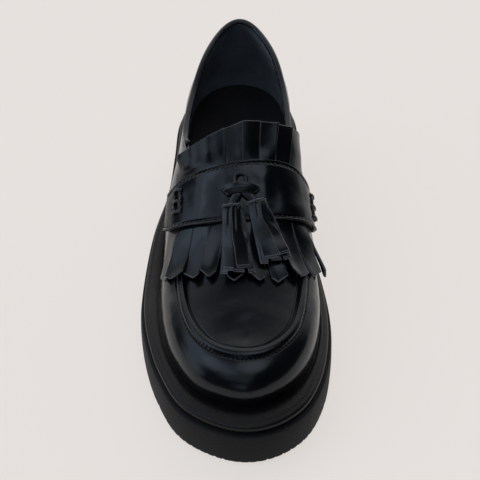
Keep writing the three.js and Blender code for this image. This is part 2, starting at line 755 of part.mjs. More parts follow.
function strapSolid() {
  const across = [0, 0.03, 0.2, 0.4, 0.6, 0.8, 0.97, 1];
  const places = [
    ...steps(-STRAP_REACH, -STRAP_REACH + STRAP_CORNER, 3),
    ...steps(-STRAP_REACH + 7, STRAP_REACH - 7, 22),
    ...steps(STRAP_REACH - STRAP_CORNER, STRAP_REACH, 3),
  ];
  return gridSheet(across.length - 1, places.length - 1, (i, k) => {
    const s = places[k];
    const back = STRAP_WIDTH * lerpTable(strapTable, s / STRAP_REACH, "back");
    const front = STRAP_WIDTH * lerpTable(strapTable, s / STRAP_REACH, "front");
    const inCorner = clamp((Math.abs(s) - STRAP_REACH + STRAP_CORNER) / STRAP_CORNER, 0, 0.98);
    const inset = STRAP_CORNER * (1 - Math.sqrt(1 - inCorner ** 2));
    const low = strapSeat(s);
    const rim = across[i] === 0 || across[i] === 1 || k === 0 || k === places.length - 1;
    const lip = i >= across.length - 2 ? STRAP_LIP : 0;
    const t = mix(back + inset, front - inset, across[i]);
    return { t, s, low, high: low + STRAP_THICKNESS + lip - (rim ? 0.6 : 0) };
  });
}

const FRINGE_ROWS = 5;
const FLAP_ROWS = 4;
const KILTIE_BASE = STRAP_WIDTH / 2 - 1;

// One fringed leather piece: strips towards the toe with pointed tips, strips with straight ends standing
// up behind, and a plain band between them under the strap.
function kiltieSolid() {
  const pitch = KILTIE_WIDTH / KILTIE_STRIPS;
  const left = KILTIE_OFFSET - KILTIE_HALF;
  const strips = steps(0, KILTIE_STRIPS - 1, KILTIE_STRIPS - 1).map((n) => left + n * pitch);
  const perStrip = [SLIT_WIDTH / 2, pitch / 2, pitch - SLIT_WIDTH / 2];
  const columns = strips.flatMap((from) => perStrip.map((off) => from + off));
  const sheet = new Sheet();
  const corner = (name, t, s, lift) =>
    sheet.corner(name, overInstep(t, s, KILTIE_SEAT + lift), overInstep(t, s, KILTIE_TOP + lift));
  const band = steps(-KILTIE_BASE, KILTIE_BASE, 4);
  band.forEach((t, i) => columns.forEach((s, k) => corner(`band${i}:${k}`, t, s, 0)));
  const joinRows = (upper, lower, from, to) => {
    for (let k = from; k < to; k += 1) {
      sheet.cell(`${upper}:${k}`, `${lower}:${k}`, `${lower}:${k + 1}`, `${upper}:${k + 1}`);
    }
  };
  for (let i = 0; i + 1 < band.length; i += 1) {
    joinRows(`band${i}`, `band${i + 1}`, 0, columns.length - 1);
  }
  strips.forEach((_, n) => {
    const [first, last] = [3 * n, 3 * n + 2];
    const shape = fringeTable[n];
    const fringeRow = (r) => (r === 0 ? `band${band.length - 1}` : `fringe${n}.${r}`);
    for (let r = 1; r <= FRINGE_ROWS; r += 1) {
      const share = r / FRINGE_ROWS;
      for (let k = first; k <= last; k += 1) {
        const point = k === first + 1 ? 0 : FRINGE_POINT * share;
        const t = KILTIE_BASE + (FRINGE_LENGTH + shape.extra - point) * share;
        corner(`${fringeRow(r)}:${k}`, t, columns[k] + shape.swing * share ** 1.4, shape.lift * share ** 2);
      }
      joinRows(fringeRow(r - 1), fringeRow(r), first, last);
    }
    const flapRow = (r) => (r === 0 ? "band0" : `flap${n}.${r}`);
    for (let r = 1; r <= FLAP_ROWS; r += 1) {
      const share = r / FLAP_ROWS;
      for (let k = first; k <= last; k += 1) {
        const across = (columns[k] - left) / pitch - n;
        const length = mix(flapTable[n].length, flapTable[n + 1].length, across);
        const flare = mix(flapTable[n].flare, flapTable[n + 1].flare, 0.5) + 0.5 * (0.5 - across);
        corner(`${flapRow(r)}:${k}`, -KILTIE_BASE - length * share, columns[k], flare * share ** 1.4);
      }
      joinRows(flapRow(r), flapRow(r - 1), first, last);
    }
  });
  return sheet.solid();
}

const LACE_SEAT = STRAP_SEAT + STRAP_THICKNESS + GAP;
const TASSEL_SEAT = LACE_SEAT + STRAP_LIP + 0.2;

// A flat ribbon over the instep along a path of { t, s, lift } rows.
function ribbon(path, width, thickness) {
  const side = (i) => {
    const [a, b] = [path[Math.max(i - 1, 0)], path[Math.min(i + 1, path.length - 1)]];
    const length = Math.hypot(b.t - a.t, b.s - a.s);
    return { t: -(b.s - a.s) / length, s: (b.t - a.t) / length };
  };
  return gridSheet(path.length - 1, 2, (i, k) => {
    const off = ((k - 1) * (path[i].width ?? width)) / 2;
    const { t, s } = side(i);
    const low = LACE_SEAT + path[i].lift;
    const crown = k === 1 ? 0 : -0.35;
    return { t: path[i].t + off * t, s: path[i].s + off * s, low, high: low + thickness + crown };
  });
}

const laceTable = table(["part", "t", "s", "lift"], [
  ["bar", -1, -13, 0.4],
  ["bar", -1.4, -9, 1.0],
  ["bar", -1.4, -4, 1.5],
  ["bar", -1.2, 1, 1.1],
  ["bar", -0.4, 5.5, 0.4],
  ["loop", -2, -6, 0],
  ["loop", -6, -7.6, 0],
  ["loop", -9.4, -6.4, 0.1],
  ["loop", -10.4, -3.8, 0.2],
  ["loop", -9, -1.2, 0.1],
  ["loop", -5.6, -0.4, 0],
  ["loop", -2, -1.6, 0],
  ["lateral", -2, -4.5, 0],
  ["lateral", 3, -7, 0],
  ["lateral", 6.6, -8.2, 0],
  ["medial", -2, -2.5, 0.2],
  ["medial", 1.5, 1.6, 0.1],
  ["medial", 4.2, 4.2, 0],
]);

function laceSolid() {
  const path = (part) => laceTable.filter((row) => row.part === part);
  const bar = ribbon(path("bar"), LACE_WIDTH + 1.4, LACE_THICKNESS);
  const loop = ribbon(path("loop"), 2.6, LACE_THICKNESS);
  const lateral = ribbon(path("lateral"), LACE_WIDTH, LACE_THICKNESS);
  const medial = ribbon(path("medial"), LACE_WIDTH, LACE_THICKNESS);
  return bar.add(loop).add(lateral).add(medial);
}

// Where each tassel hangs: its cap's top and its tip on the instep's sheet.
const hangTable = table(["capT", "capS", "tipT", "tipS"], [
  [8.5, -8, 52, -4.5],
  [6, 4.9, 44.5, 16.2],
]);

function tasselSolid(hang) {
  const span = new THREE.Vector2(hang.tipT - hang.capT, hang.tipS - hang.capS);
  const run = span.clone().normalize();
  const place = (down, off) => ({
    t: hang.capT + run.x * down - run.y * off,
    s: hang.capS + run.y * down + run.x * off,
  });
  const strip = (row, n) => {
    const length = TASSEL_LENGTH * row.length;
    const rowsDown = 6;
    return gridSheet(rowsDown, 1, (i, k) => {
      const share = i / rowsDown;
      const middle = TASSEL_HALF_WIDTH * mix(row.top, row.tip, share ** 0.8);
      const spot = place(1 + (length - 1) * share, middle + (k - 0.5) * TASSEL_STRIP_WIDTH);
      const low = TASSEL_SEAT + row.layer * 1.1 + n * 0.06;
      return { ...spot, low, high: low + TASSEL_STRIP_THICKNESS };
    });
  };
  const cap = gridSheet(3, 4, (i, k) => {
    const spot = place(0.6 + (TASSEL_CAP_LENGTH * i) / 3, (k / 2 - 1) * TASSEL_CAP_WIDTH / 2);
    const crown = 1 - 0.75 * Math.abs(k / 2 - 1) ** 2;
    const barrel = i === 0 || i === 3 ? -0.5 : 0;
    return { ...spot, low: TASSEL_SEAT - 0.05, high: TASSEL_SEAT + 2.2 + 1.4 * crown + barrel };
  });
  return tasselTable.map(strip).reduce((sum, solid) => sum.add(solid), cap);
}

const material = (color, roughness) =>
  new THREE.MeshStandardMaterial({ color, roughness, metalness: 0 });
const leather = material(0x14161a, 0.25);
const rubber = material(0x2a2c2e, 0.85);
const welting = material(0x17181a, 0.55);
const lining = material(0x2b2f35, 0.6);

const pieces = [
  ["outsole", treadedOutsole(), rubber],
  ["midsole", midsoleSolid(), welting],
  ["upper", upperSolid(), leather],
  ["insole", insoleSolid(), lining],
  ["collar_binding", bindingSolid(), leather],
  ["kiltie", kiltieSolid(), leather],
  ["saddle_strap", strapSolid(), leather],
  ["tassel_lace", laceSolid(), leather],
  ["tassel_lateral", tasselSolid(hangTable[0]), leather],
  ["tassel_medial", tasselSolid(hangTable[1]), leather],
];

const group = new THREE.Group();
group.name = "tassel_loafer";
for (const [name, solid, finish] of pieces) {
  const mesh = new THREE.Mesh(geometryOf(solid), finish);
  mesh.name = name;
  group.add(mesh);
}
const bounds = new THREE.Box3().setFromObject(group);
const centre = bounds.getCenter(new THREE.Vector3());
for (const mesh of group.children) mesh.geometry.translate(-centre.x, -centre.y, -bounds.min.z);

export default group;
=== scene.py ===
# %% [markdown]
# # A tassel loafer on a platform sole
# The shoe is one for the right foot: a polished black leather upper, a fringed kiltie held down by a
# saddle strap, two leather tassels and a thick foam sole. Its plain solids are loaded first as a fixed
# frame, and every step below makes one real piece of the shoe in the same place. Sizes are written in
# millimetres, because shoemakers measure so, and turn into Blender's metres when a mesh is made.

# %% Load the fixed frame
import math

import bmesh
import bpy
import numpy as np
from mathutils import Matrix, Vector
from mathutils.bvhtree import BVHTree


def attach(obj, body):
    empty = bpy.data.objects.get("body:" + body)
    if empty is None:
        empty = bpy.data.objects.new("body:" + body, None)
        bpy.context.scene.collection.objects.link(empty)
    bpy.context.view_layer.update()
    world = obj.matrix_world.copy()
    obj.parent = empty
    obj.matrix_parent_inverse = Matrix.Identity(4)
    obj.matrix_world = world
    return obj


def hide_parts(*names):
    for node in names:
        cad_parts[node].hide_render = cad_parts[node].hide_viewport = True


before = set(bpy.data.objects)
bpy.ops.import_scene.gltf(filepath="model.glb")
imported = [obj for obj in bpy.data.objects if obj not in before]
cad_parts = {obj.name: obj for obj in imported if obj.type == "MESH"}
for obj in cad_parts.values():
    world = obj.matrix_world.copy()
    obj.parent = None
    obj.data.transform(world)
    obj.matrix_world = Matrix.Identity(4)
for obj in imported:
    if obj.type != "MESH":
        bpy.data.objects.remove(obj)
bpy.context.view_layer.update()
MM = 0.001
scene = bpy.context.scene

# %% [markdown]
# ## Camera
# The shoe is seen from the front and from 45 degrees above, with a long lens. A long lens far away keeps
# the heel from shrinking, as a product photographer wants. The camera is aimed with a tracked rotation
# rather than typed angles, so that its aim is one readable point.

# %% Camera
CAMERA_TARGET = Vector((0.0025, -0.0013, 0.040))
CAMERA_RISE = math.radians(45)
CAMERA_DISTANCE = 1.2

camera_data = bpy.data.cameras.new("camera")
camera_data.lens = 151.5
camera_data.sensor_width = 36
camera = bpy.data.objects.new("camera", camera_data)
scene.collection.objects.link(camera)
to_camera = Vector((0, -math.cos(CAMERA_RISE), math.sin(CAMERA_RISE)))
camera.location = CAMERA_TARGET + to_camera * CAMERA_DISTANCE
camera.rotation_euler = (-to_camera).to_track_quat("-Z", "Y").to_euler()
scene.camera = camera
print("camera at", [round(v, 3) for v in camera.location])

# %% [markdown]
# ## Shader maths as expressions
# A finish is a small tree of nodes. Writing every node by hand hides the idea, so a socket is wrapped in
# a class that knows plus, minus and times. An expression such as `1 - mask` then adds its own Math node,
# and one function adds any other node.

# %% Add one node to a tree
def put(tree, socket, value):
    if isinstance(value, Value):
        value = value.socket
    if isinstance(value, bpy.types.NodeSocket):
        tree.links.new(value, socket)
    else:
        socket.default_value = value


def add_node(tree, kind, settings, inputs, output=0):
    node = tree.nodes.new(kind)
    for key, value in settings.items():
        setattr(node, key, value)
    for key, value in inputs.items():
        put(tree, node.inputs[key], value)
    return node.outputs[output]


# %% A socket that takes part in sums
class Value:
    def __init__(self, finish, socket):
        self.finish, self.socket = finish, socket

    def step(self, low, high):
        settings = {"interpolation_type": "SMOOTHSTEP"}
        return self.finish.add("MapRange", settings, {"Value": self, "From Min": low, "From Max": high})


def sum_method(operation, swapped):
    def method(self, other):
        pair = (other, self) if swapped else (self, other)
        return self.finish.add("Math", {"operation": operation}, dict(enumerate(pair)))

    return method


for sign, operation in (("add", "ADD"), ("sub", "SUBTRACT"), ("mul", "MULTIPLY")):
    setattr(Value, f"__{sign}__", sum_method(operation, False))
    setattr(Value, f"__r{sign}__", sum_method(operation, True))


# %% A finish: one material and the nodes in it
class Finish:
    def __init__(self, name, **constants):
        self.material = bpy.data.materials.new(name)
        self.material.use_nodes = True
        self.tree = self.material.node_tree
        self.place = self.add("TexCoord", {}, {}, "Object")
        self.feed(**constants)

    def add(self, kind, settings, inputs, output=0):
        return Value(self, add_node(self.tree, "ShaderNode" + kind, settings, inputs, output))

    def feed(self, **inputs):
        shader = self.tree.nodes["Principled BSDF"]
        for key, value in inputs.items():
            put(self.tree, shader.inputs[key.replace("_", " ")], value)

    def noise(self, scale, detail):
        inputs = {"Vector": self.place, "Scale": scale, "Detail": detail}
        return self.add("TexNoise", {}, inputs, "Fac")

    def cells(self, scale):
        inputs = {"Vector": self.place, "Scale": scale}
        return self.add("TexVoronoi", {"feature": "SMOOTH_F1"}, inputs, "Distance")

    def colours(self, share, low, high):
        low, high = (tone if isinstance(tone, Value) else (*tone, 1) for tone in (low, high))
        return self.add("Mix", {"data_type": "RGBA"}, {"Factor": share, 6: low, 7: high}, 2)

    def bump(self, height, depth, strength=1.0, over=None):
        inputs = {"Height": height, "Distance": depth, "Strength": strength}
        if over:
            inputs["Normal"] = over
        return self.add("Bump", {}, inputs, "Normal")


# %% [markdown]
# ## Finishes
# The upper is a corrected calf leather with a polished coat: nearly black, with a faint blue cast, a very
# fine grain and soft waves that break up its reflections. Grain is a Voronoi pattern at about a
# millimetre, and the waves are a slow noise. Both are bump, because neither changes the outline. The coat
# is a second thin gloss layer, as the wax finish is on the real leather. Where a strip was cut, its edge
# is painted paler and rougher: partly the paler core of the leather, and partly a painted highlight
# along the rim. An attribute of the mesh says where that is.

# %% Polished leather
# Colour of cut edges: partly the leather's paler core, partly a painted highlight along the rims.
CUT_CORE_AND_HIGHLIGHT = (0.13, 0.138, 0.156)
COOL_GLOSS = (0.82, 0.92, 1.0, 1.0)
LEATHER_TONE = (0.0024, 0.0026, 0.0034)


def polished_leather(name, base, rough, grain, wave, cut=False):
    finish = Finish(name, Coat_Weight=0.1, Coat_Roughness=0.08, IOR=1.38, Specular_Tint=COOL_GLOSS)
    smear = finish.noise(38, 3)
    cloud = finish.noise(170, 4)
    tint = [channel * 1.9 + 0.001 for channel in base]
    colour = finish.colours(smear.step(0.35, 0.8), base, tint)
    gloss = rough + 0.07 * smear + 0.05 * cloud
    if cut:
        # Cut edges are painted paler and rougher: partly the leather's core, partly a painted highlight on
        # the rims.
        cut_core_and_highlight = finish.add("Attribute", {"attribute_name": "cut"}, {}, "Fac")
        colour = finish.colours(cut_core_and_highlight, colour, CUT_CORE_AND_HIGHLIGHT)
        gloss = gloss + 0.3 * cut_core_and_highlight
    finish.feed(Base_Color=colour, Roughness=gloss)
    waves = finish.bump(finish.noise(55, 2), wave)
    pores = finish.cells(1150) + 0.35 * finish.noise(2600, 2)
    finish.feed(Normal=finish.bump(pores, grain, 0.35, waves))
    return finish.material


# Columns: name, colour, roughness, depth of the grain and of the waves, and whether the paler cut edges
# show, partly a painted highlight.
LEATHERS = [
    ("polished_leather", LEATHER_TONE, 0.16, 0.00006, 0.0005),
    ("cut_leather", LEATHER_TONE, 0.14, 0.00007, 0.0005, True),
    ("strap_leather", (0.0022, 0.0024, 0.0031), 0.14, 0.00006, 0.0009),
    ("roll_leather", (0.007, 0.0078, 0.0095), 0.2, 0.00007, 0.0003),
    ("knot_leather", (0.004, 0.0044, 0.0054), 0.13, 0.00008, 0.0004),
    ("lace_leather", (0.0028, 0.003, 0.0038), 0.14, 0.00008, 0.0005, True),
]
upper_finish, strip_finish, strap_finish, roll_finish, knot_finish, lace_finish = (
    polished_leather(*row) for row in LEATHERS
)
print("leathers", [material.name for material in bpy.data.materials])

# %% [markdown]
# The lining is a dyed, uncoated leather: greyer, duller, with open pores. Its grey-blue is partly its own
# tone and partly painted light, made lighter for the light that falls into the mouth of the shoe. The
# footbed is nearly black and worn smooth. Both vary a little in roughness, so that light from the mouth of
# the shoe fades unevenly over them.

# %% Lining and footbed leather
def lining_leather(name, base, rough, pore):
    finish = Finish(name, Sheen_Weight=0.15, Specular_IOR_Level=0.45)
    patch = finish.noise(60, 4)
    pores = finish.cells(780)
    light = [channel * 1.5 for channel in base]
    finish.feed(Base_Color=finish.colours(patch.step(0.3, 0.7), base, light))
    finish.feed(Roughness=rough + 0.16 * patch)
    soft = finish.bump(finish.noise(90, 3), 0.0005)
    finish.feed(Normal=finish.bump(pores + 0.6 * finish.noise(1500, 3), pore, 0.6, soft))
    return finish.material


# The lining's colour is lighter than its own tone: partly its grey-blue, partly painted light falling into
# the shoe.
lining_with_painted_light = lining_leather("lining_leather", (0.112, 0.129, 0.156), rough=0.42, pore=0.0003)
footbed_finish = lining_leather("footbed_leather", (0.0028, 0.003, 0.0042), rough=0.45, pore=0.0001)
print("linings", lining_with_painted_light.name, footbed_finish.name)

# %% [markdown]
# The welt and the outsole are moulded. The welt is a dense rubber with a satin skin, and a few bright
# flecks where the mould left it rough. The outsole is a blown foam: dull, dark grey, with a fine pebbled
# skin. On both, the skin is painted darker where its bump lies low, a painted shade in the pits.

# %% Rubber and foam
def moulded(name, base, rough, pit, scale, fleck):
    finish = Finish(name, Specular_IOR_Level=0.24)
    skin = finish.noise(scale, 4)
    pits = finish.cells(scale * 0.8)
    wear = finish.noise(45, 4)
    # Painted shade: the skin is darker where the same noise lowers its bump.
    painted_pit_shade = [channel * 0.62 for channel in base]
    finish.feed(Base_Color=finish.colours(skin.step(0.3, 0.65), painted_pit_shade, base))
    finish.feed(Roughness=rough - 0.12 * wear - fleck * skin.step(0.66, 0.8))
    broad = finish.bump(wear, 0.0004, 0.5)
    finish.feed(Normal=finish.bump(pits + skin, pit, 0.7, broad))
    return finish.material


WELT_SKIN = {"rough": 0.42, "pit": 0.0002, "scale": 1300, "fleck": 0.25}
FOAM_SKIN = {"rough": 0.8, "pit": 0.00025, "scale": 1000, "fleck": 0.1}
welt_finish = moulded("welt_rubber", (0.0028, 0.003, 0.0038), **WELT_SKIN)
foam_finish = moulded("sole_foam", (0.0085, 0.009, 0.0115), **FOAM_SKIN)
print("moulded", welt_finish.name, foam_finish.name)

# %% [markdown]
# Thread is waxed and twisted, so it has a low gloss and a slanting ply. The pattern is a Wave texture in
# the object's own space, fine enough to read as twist only from close up. The raised bands of the ply are
# painted lighter, a painted highlight standing for glints on the thread.

# %% Waxed thread
thread = Finish("thread", Sheen_Weight=0.2)
ply_settings = {"wave_type": "BANDS", "bands_direction": "DIAGONAL"}
ply = thread.add("TexWave", ply_settings, {"Vector": thread.place, "Scale": 900}, "Fac")
# Painted highlight: the ply's raised bands are coloured lighter than the black thread.
thread.feed(Base_Color=thread.colours(ply, (0.02, 0.022, 0.026), (0.065, 0.069, 0.08)))
thread.feed(Roughness=0.4 + 0.2 * ply, Normal=thread.bump(ply, 0.0001))
thread_finish = thread.material
print("thread", thread_finish.name)

# %% [markdown]
# ## The last
# Every surface of the upper follows the last, the form that the shoe is built on. It is a table of
# sections, one row for each, going round the shoe from the back of the heel along the outer side to the
# toe and back along the inner side. A smooth curve through the rows gives any place between them, and a
# narrow weighted mean along it removes the change of bend at each row, which gloss would show.

# %% Sizes of the last
LAST_LENGTH = 257
HALF_BALL = 91 / 2
BACK_HEIGHT = 56
INSTEP_HEIGHT = 64.5
TOE_HEIGHT = 23.1
SPINE_OFFSET = 4
HEEL_Y = 0.52 * LAST_LENGTH
UPPER_WALL = 2.2
APRON_RECESS = 1.6
GAP = 0.3
FOREFOOT_THICKNESS = 24
MIDSOLE_THICKNESS = 5.5
HEEL_RISE = 14.5
TOE_SPRING = 1.2
TOE_LEDGE = 17
ROWS, TOE_ROW, THROAT_ROW, CONE_ROW = 22, 11, 5, 3
THROAT_END = ROWS - THROAT_ROW

# Columns: along and across place the feather edge, edge_along and edge_across the wall's top edge, rise
# is that edge's height, bulge, lift, reach and drop shape the wall, and ledge is the sole's overhang. Rise
# is a share of the height of the back, the instep or the toe, whichever is nearest.
ALONG, ACROSS, EDGE_ALONG, EDGE_ACROSS, RISE, BULGE, LIFT, REACH, DROP, LEDGE = range(10)
SECTIONS = np.array([
    [0.0, 0.0, 0.018, 0.0, 1.0, 0.09, 0.4, 0.06, 0.35, 0.37],
    [0.027, -0.418, 0.041, -0.253, 0.948, 0.085, 0.4, 0.07, 0.35, 0.38],
    [0.105, -0.68, 0.128, -0.495, 0.89, 0.08, 0.42, 0.08, 0.33, 0.39],
    [0.226, -0.747, 0.241, -0.659, 0.765, 0.06, 0.42, 0.05, 0.3, 0.37],
    [0.35, -0.802, 0.358, -0.736, 0.77, 0.07, 0.42, 0.06, 0.3, 0.42],
    [0.467, -0.915, 0.44, -0.675, 0.783, 0.075, 0.45, 0.15, 0.22, 0.6],
    [0.591, -0.967, 0.599, -0.714, 0.58, 0.06, 0.5, 0.22, 0.17, 0.73],
    [0.697, -1.0, 0.7, -0.695, 0.433, 0.08, 0.56, 0.3, 0.14, 0.71],
    [0.798, -0.945, 0.79, -0.615, 1.1, 0.09, 0.6, 0.4, 0.1, 0.635],
    [0.885, -0.791, 0.854, -0.462, 1.05, 0.1, 0.62, 0.5, 0.08, 0.65],
    [0.963, -0.484, 0.891, -0.242, 1.0, 0.11, 0.64, 0.56, 0.07, 0.83],
    [1.0, 0.066, 0.905, 0.066, 1.0, 0.12, 0.66, 0.6, 0.07, 1.0],
    [0.967, 0.528, 0.893, 0.352, 1.026, 0.11, 0.64, 0.56, 0.07, 0.9],
    [0.895, 0.835, 0.85, 0.593, 1.087, 0.1, 0.62, 0.48, 0.09, 0.62],
    [0.802, 0.978, 0.786, 0.703, 1.16, 0.09, 0.6, 0.38, 0.11, 0.47],
    [0.7, 1.0, 0.7, 0.758, 0.464, 0.08, 0.56, 0.28, 0.15, 0.42],
    [0.591, 0.905, 0.599, 0.75, 0.597, 0.06, 0.5, 0.2, 0.18, 0.42],
    [0.467, 0.745, 0.44, 0.69, 0.798, 0.05, 0.45, 0.12, 0.22, 0.42],
    [0.35, 0.648, 0.358, 0.67, 0.775, 0.05, 0.42, 0.02, 0.3, 0.4],
    [0.226, 0.659, 0.241, 0.625, 0.773, 0.06, 0.42, 0.04, 0.3, 0.37],
    [0.105, 0.637, 0.128, 0.495, 0.89, 0.08, 0.42, 0.08, 0.33, 0.37],
    [0.027, 0.407, 0.041, 0.253, 0.948, 0.085, 0.4, 0.07, 0.35, 0.38],
])
NEAREST = [BACK_HEIGHT, INSTEP_HEIGHT, TOE_HEIGHT, INSTEP_HEIGHT, BACK_HEIGHT]
SECTIONS[:, RISE] *= np.repeat(NEAREST, [5, 3, 7, 3, 4])

# The crest of the instep: its place along the last, and its height as a share of the instep's or toe's.
SPINE = np.array([
    [0.24, 1.15], [0.345, 1.12], [0.451, 1.0], [0.599, 0.736], [0.693, 0.58],
    [0.763, 0.495], [0.81, 0.454], [0.844, 1.156], [0.872, 1.078],
])
SPINE[:, 1] *= np.repeat([INSTEP_HEIGHT, TOE_HEIGHT], [7, 2])
print("last", len(SECTIONS), "sections,", len(SPINE), "crest rows")


# %% Small sums, and smooth curves through a table's rows
def ease(share):
    share = np.clip(share, 0, 1)
    return share * share * (3 - 2 * share)


def bell(offset, width):
    return np.exp(-(offset / width) ** 2)


def run_along(points):
    return np.concatenate([[0], np.cumsum(np.linalg.norm(np.diff(points, axis=0), axis=1))])


def mix(a, b, share):
    return a + (b - a) * share


def unit(vectors):
    return vectors / np.maximum(np.linalg.norm(vectors, axis=-1, keepdims=True), 1e-9)


def xyz(x, y, z):
    return np.stack(np.broadcast_arrays(x, y, z), -1).astype(float)


def curve_through(table, at, closed):
    at = np.asarray(at, float)
    first = np.floor(at).astype(int)
    if not closed:
        first = np.clip(first, 0, len(table) - 2)
    share = (at - first)[..., None]
    steps = (first + step for step in (-1, 0, 1, 2))
    a, b, c, d = (table[k % len(table) if closed else np.clip(k, 0, len(table) - 1)] for k in steps)
    bend = 2 * a - 5 * b + 4 * c - d + share * (3 * (b - c) + d - a)
    return b + 0.5 * share * (c - a + share * bend)


MEAN_REACH = np.linspace(-0.45, 0.45, 9)
MEAN_SHARE = bell(MEAN_REACH, 0.2)
MEAN_SHARE /= MEAN_SHARE.sum()


def smooth_rows(table, at, closed=True):
    at = np.asarray(at, float)
    rows = (curve_through(table, at + step, closed) for step in MEAN_REACH)
    return sum(share * row for share, row in zip(MEAN_SHARE, rows))


# %% Heights of the sole under the last
SIDE_STEP = 0.05


def toe_spring(along):
    return TOE_SPRING * (np.maximum(0, along - 0.78) / 0.22) ** 2


def outsole_top(along):
    return FOREFOOT_THICKNESS + HEEL_RISE * ease((0.68 - along) / 0.46) + toe_spring(along)


def above(base, rise):
    return lambda along: base(along) + GAP + rise


platform_top = above(outsole_top, MIDSOLE_THICKNESS)


def feather(p):
    row = smooth_rows(SECTIONS, p)
    return np.stack([row[..., ACROSS] * HALF_BALL, HEEL_Y - row[..., ALONG] * LAST_LENGTH], -1)


def feather_out(p):
    run = unit(feather(p + SIDE_STEP) - feather(p - SIDE_STEP))
    return xyz(run[..., 1], -run[..., 0], 0)


print("platform", platform_top(0.1).round(1), "mm at the heel,", platform_top(0.7).round(1), "at the ball")


# %% The last's surface
# u runs from the feather edge, 0, over the wall's top edge, 1, to the crest of the instep, 2.
HANDLE = 0.36
NORMAL_STEP, CREST_STEP = 0.04, 0.1


def bezier(a, b, c, d, share):
    share = share[..., None]
    rest = 1 - share
    return rest ** 3 * a + 3 * rest ** 2 * share * b + 3 * rest * share ** 2 * c + share ** 3 * d


def crest(p):
    p = np.asarray(p, float) % ROWS
    fold = np.minimum(p, ROWS - p)

    def spot(q):
        along, rise = np.moveaxis(smooth_rows(SPINE, q - CONE_ROW, closed=False), -1, 0)
        return xyz(SPINE_OFFSET, HEEL_Y - along * LAST_LENGTH, platform_top(along) + GAP + rise)

    behind = spot(np.maximum(fold - CREST_STEP, CONE_ROW - 0.5))
    ahead = spot(np.minimum(fold + CREST_STEP, TOE_ROW))
    slope = (behind[..., 2] - ahead[..., 2]) / (behind[..., 1] - ahead[..., 1])
    return spot(fold), slope


def last_point(p, u):
    p, u = np.broadcast_arrays(np.asarray(p, float), np.asarray(u, float))
    row = smooth_rows(SECTIONS, p)
    rise = row[..., RISE]
    plan = feather(p)
    foot = xyz(plan[..., 0], plan[..., 1], platform_top(row[..., ALONG]) + GAP)
    edge_y = HEEL_Y - row[..., EDGE_ALONG] * LAST_LENGTH
    edge = xyz(row[..., EDGE_ACROSS] * HALF_BALL, edge_y, foot[..., 2] + rise)
    out = feather_out(p)
    shoulder = edge + out * (row[..., REACH] * rise)[..., None]
    shoulder[..., 2] -= row[..., DROP] * rise
    low = foot + out * (row[..., BULGE] * rise)[..., None]
    low[..., 2] += row[..., LIFT] * rise
    wall = bezier(foot, low, shoulder, edge, np.clip(u, 0, 1))
    top, slope = crest(p)
    across = top - edge
    leave = edge + unit(edge - shoulder) * HANDLE * np.linalg.norm(across, axis=-1, keepdims=True)
    high = top - HANDLE * across
    high[..., 2] = top[..., 2] - slope * across[..., 1] * HANDLE
    over_top = bezier(edge, leave, high, top, np.clip(u - 1, 0, 1))
    return np.where((u <= 1)[..., None], wall, over_top)


def last_normal(p, u):
    p, u = np.broadcast_arrays(np.asarray(p, float), np.asarray(u, float))
    around = last_point(p + NORMAL_STEP, u) - last_point(p - NORMAL_STEP, u)
    higher, lower = np.minimum(u + NORMAL_STEP, 2), np.maximum(u - NORMAL_STEP, 0)
    up = last_point(p, higher) - last_point(p, lower)
    normal = unit(np.cross(around, up))
    side = (normal * feather_out(p)).sum(-1) + normal[..., 2]
    normal = np.where(side[..., None] < 0, -normal, normal)
    on_crest = unit(xyz(0, -crest(p)[1], 1))
    return np.where((u >= 2 - 1e-9)[..., None], on_crest, normal)


# The last's surface raised by a height that a function of p and u gives.
def raised(p, u, height):
    return last_point(p, u) + last_normal(p, u) * height(p, u)[..., None]


print("the last runs from y", [last_point(row, 0.0)[1].round(1) for row in (TOE_ROW, 0)], "mm")

# %% [markdown]
# ## Turning points into a piece
# Most pieces here are grids of points that meet along shared edges. A small class collects the grids,
# welds the shared edges, turns the faces outwards and makes one object at the origin. Building meshes
# from numbers keeps each piece in the shoe's own sizes, where a sculpted mesh would lose them.

# %% A patchwork of grids
PLAN_SHIFT = np.array([2.298, 0.213, 0.0])
WELD_REACH, SLIVER = 4e-6, 1e-6
LEATHER_SHARP, SOLE_SHARP = 60, 40


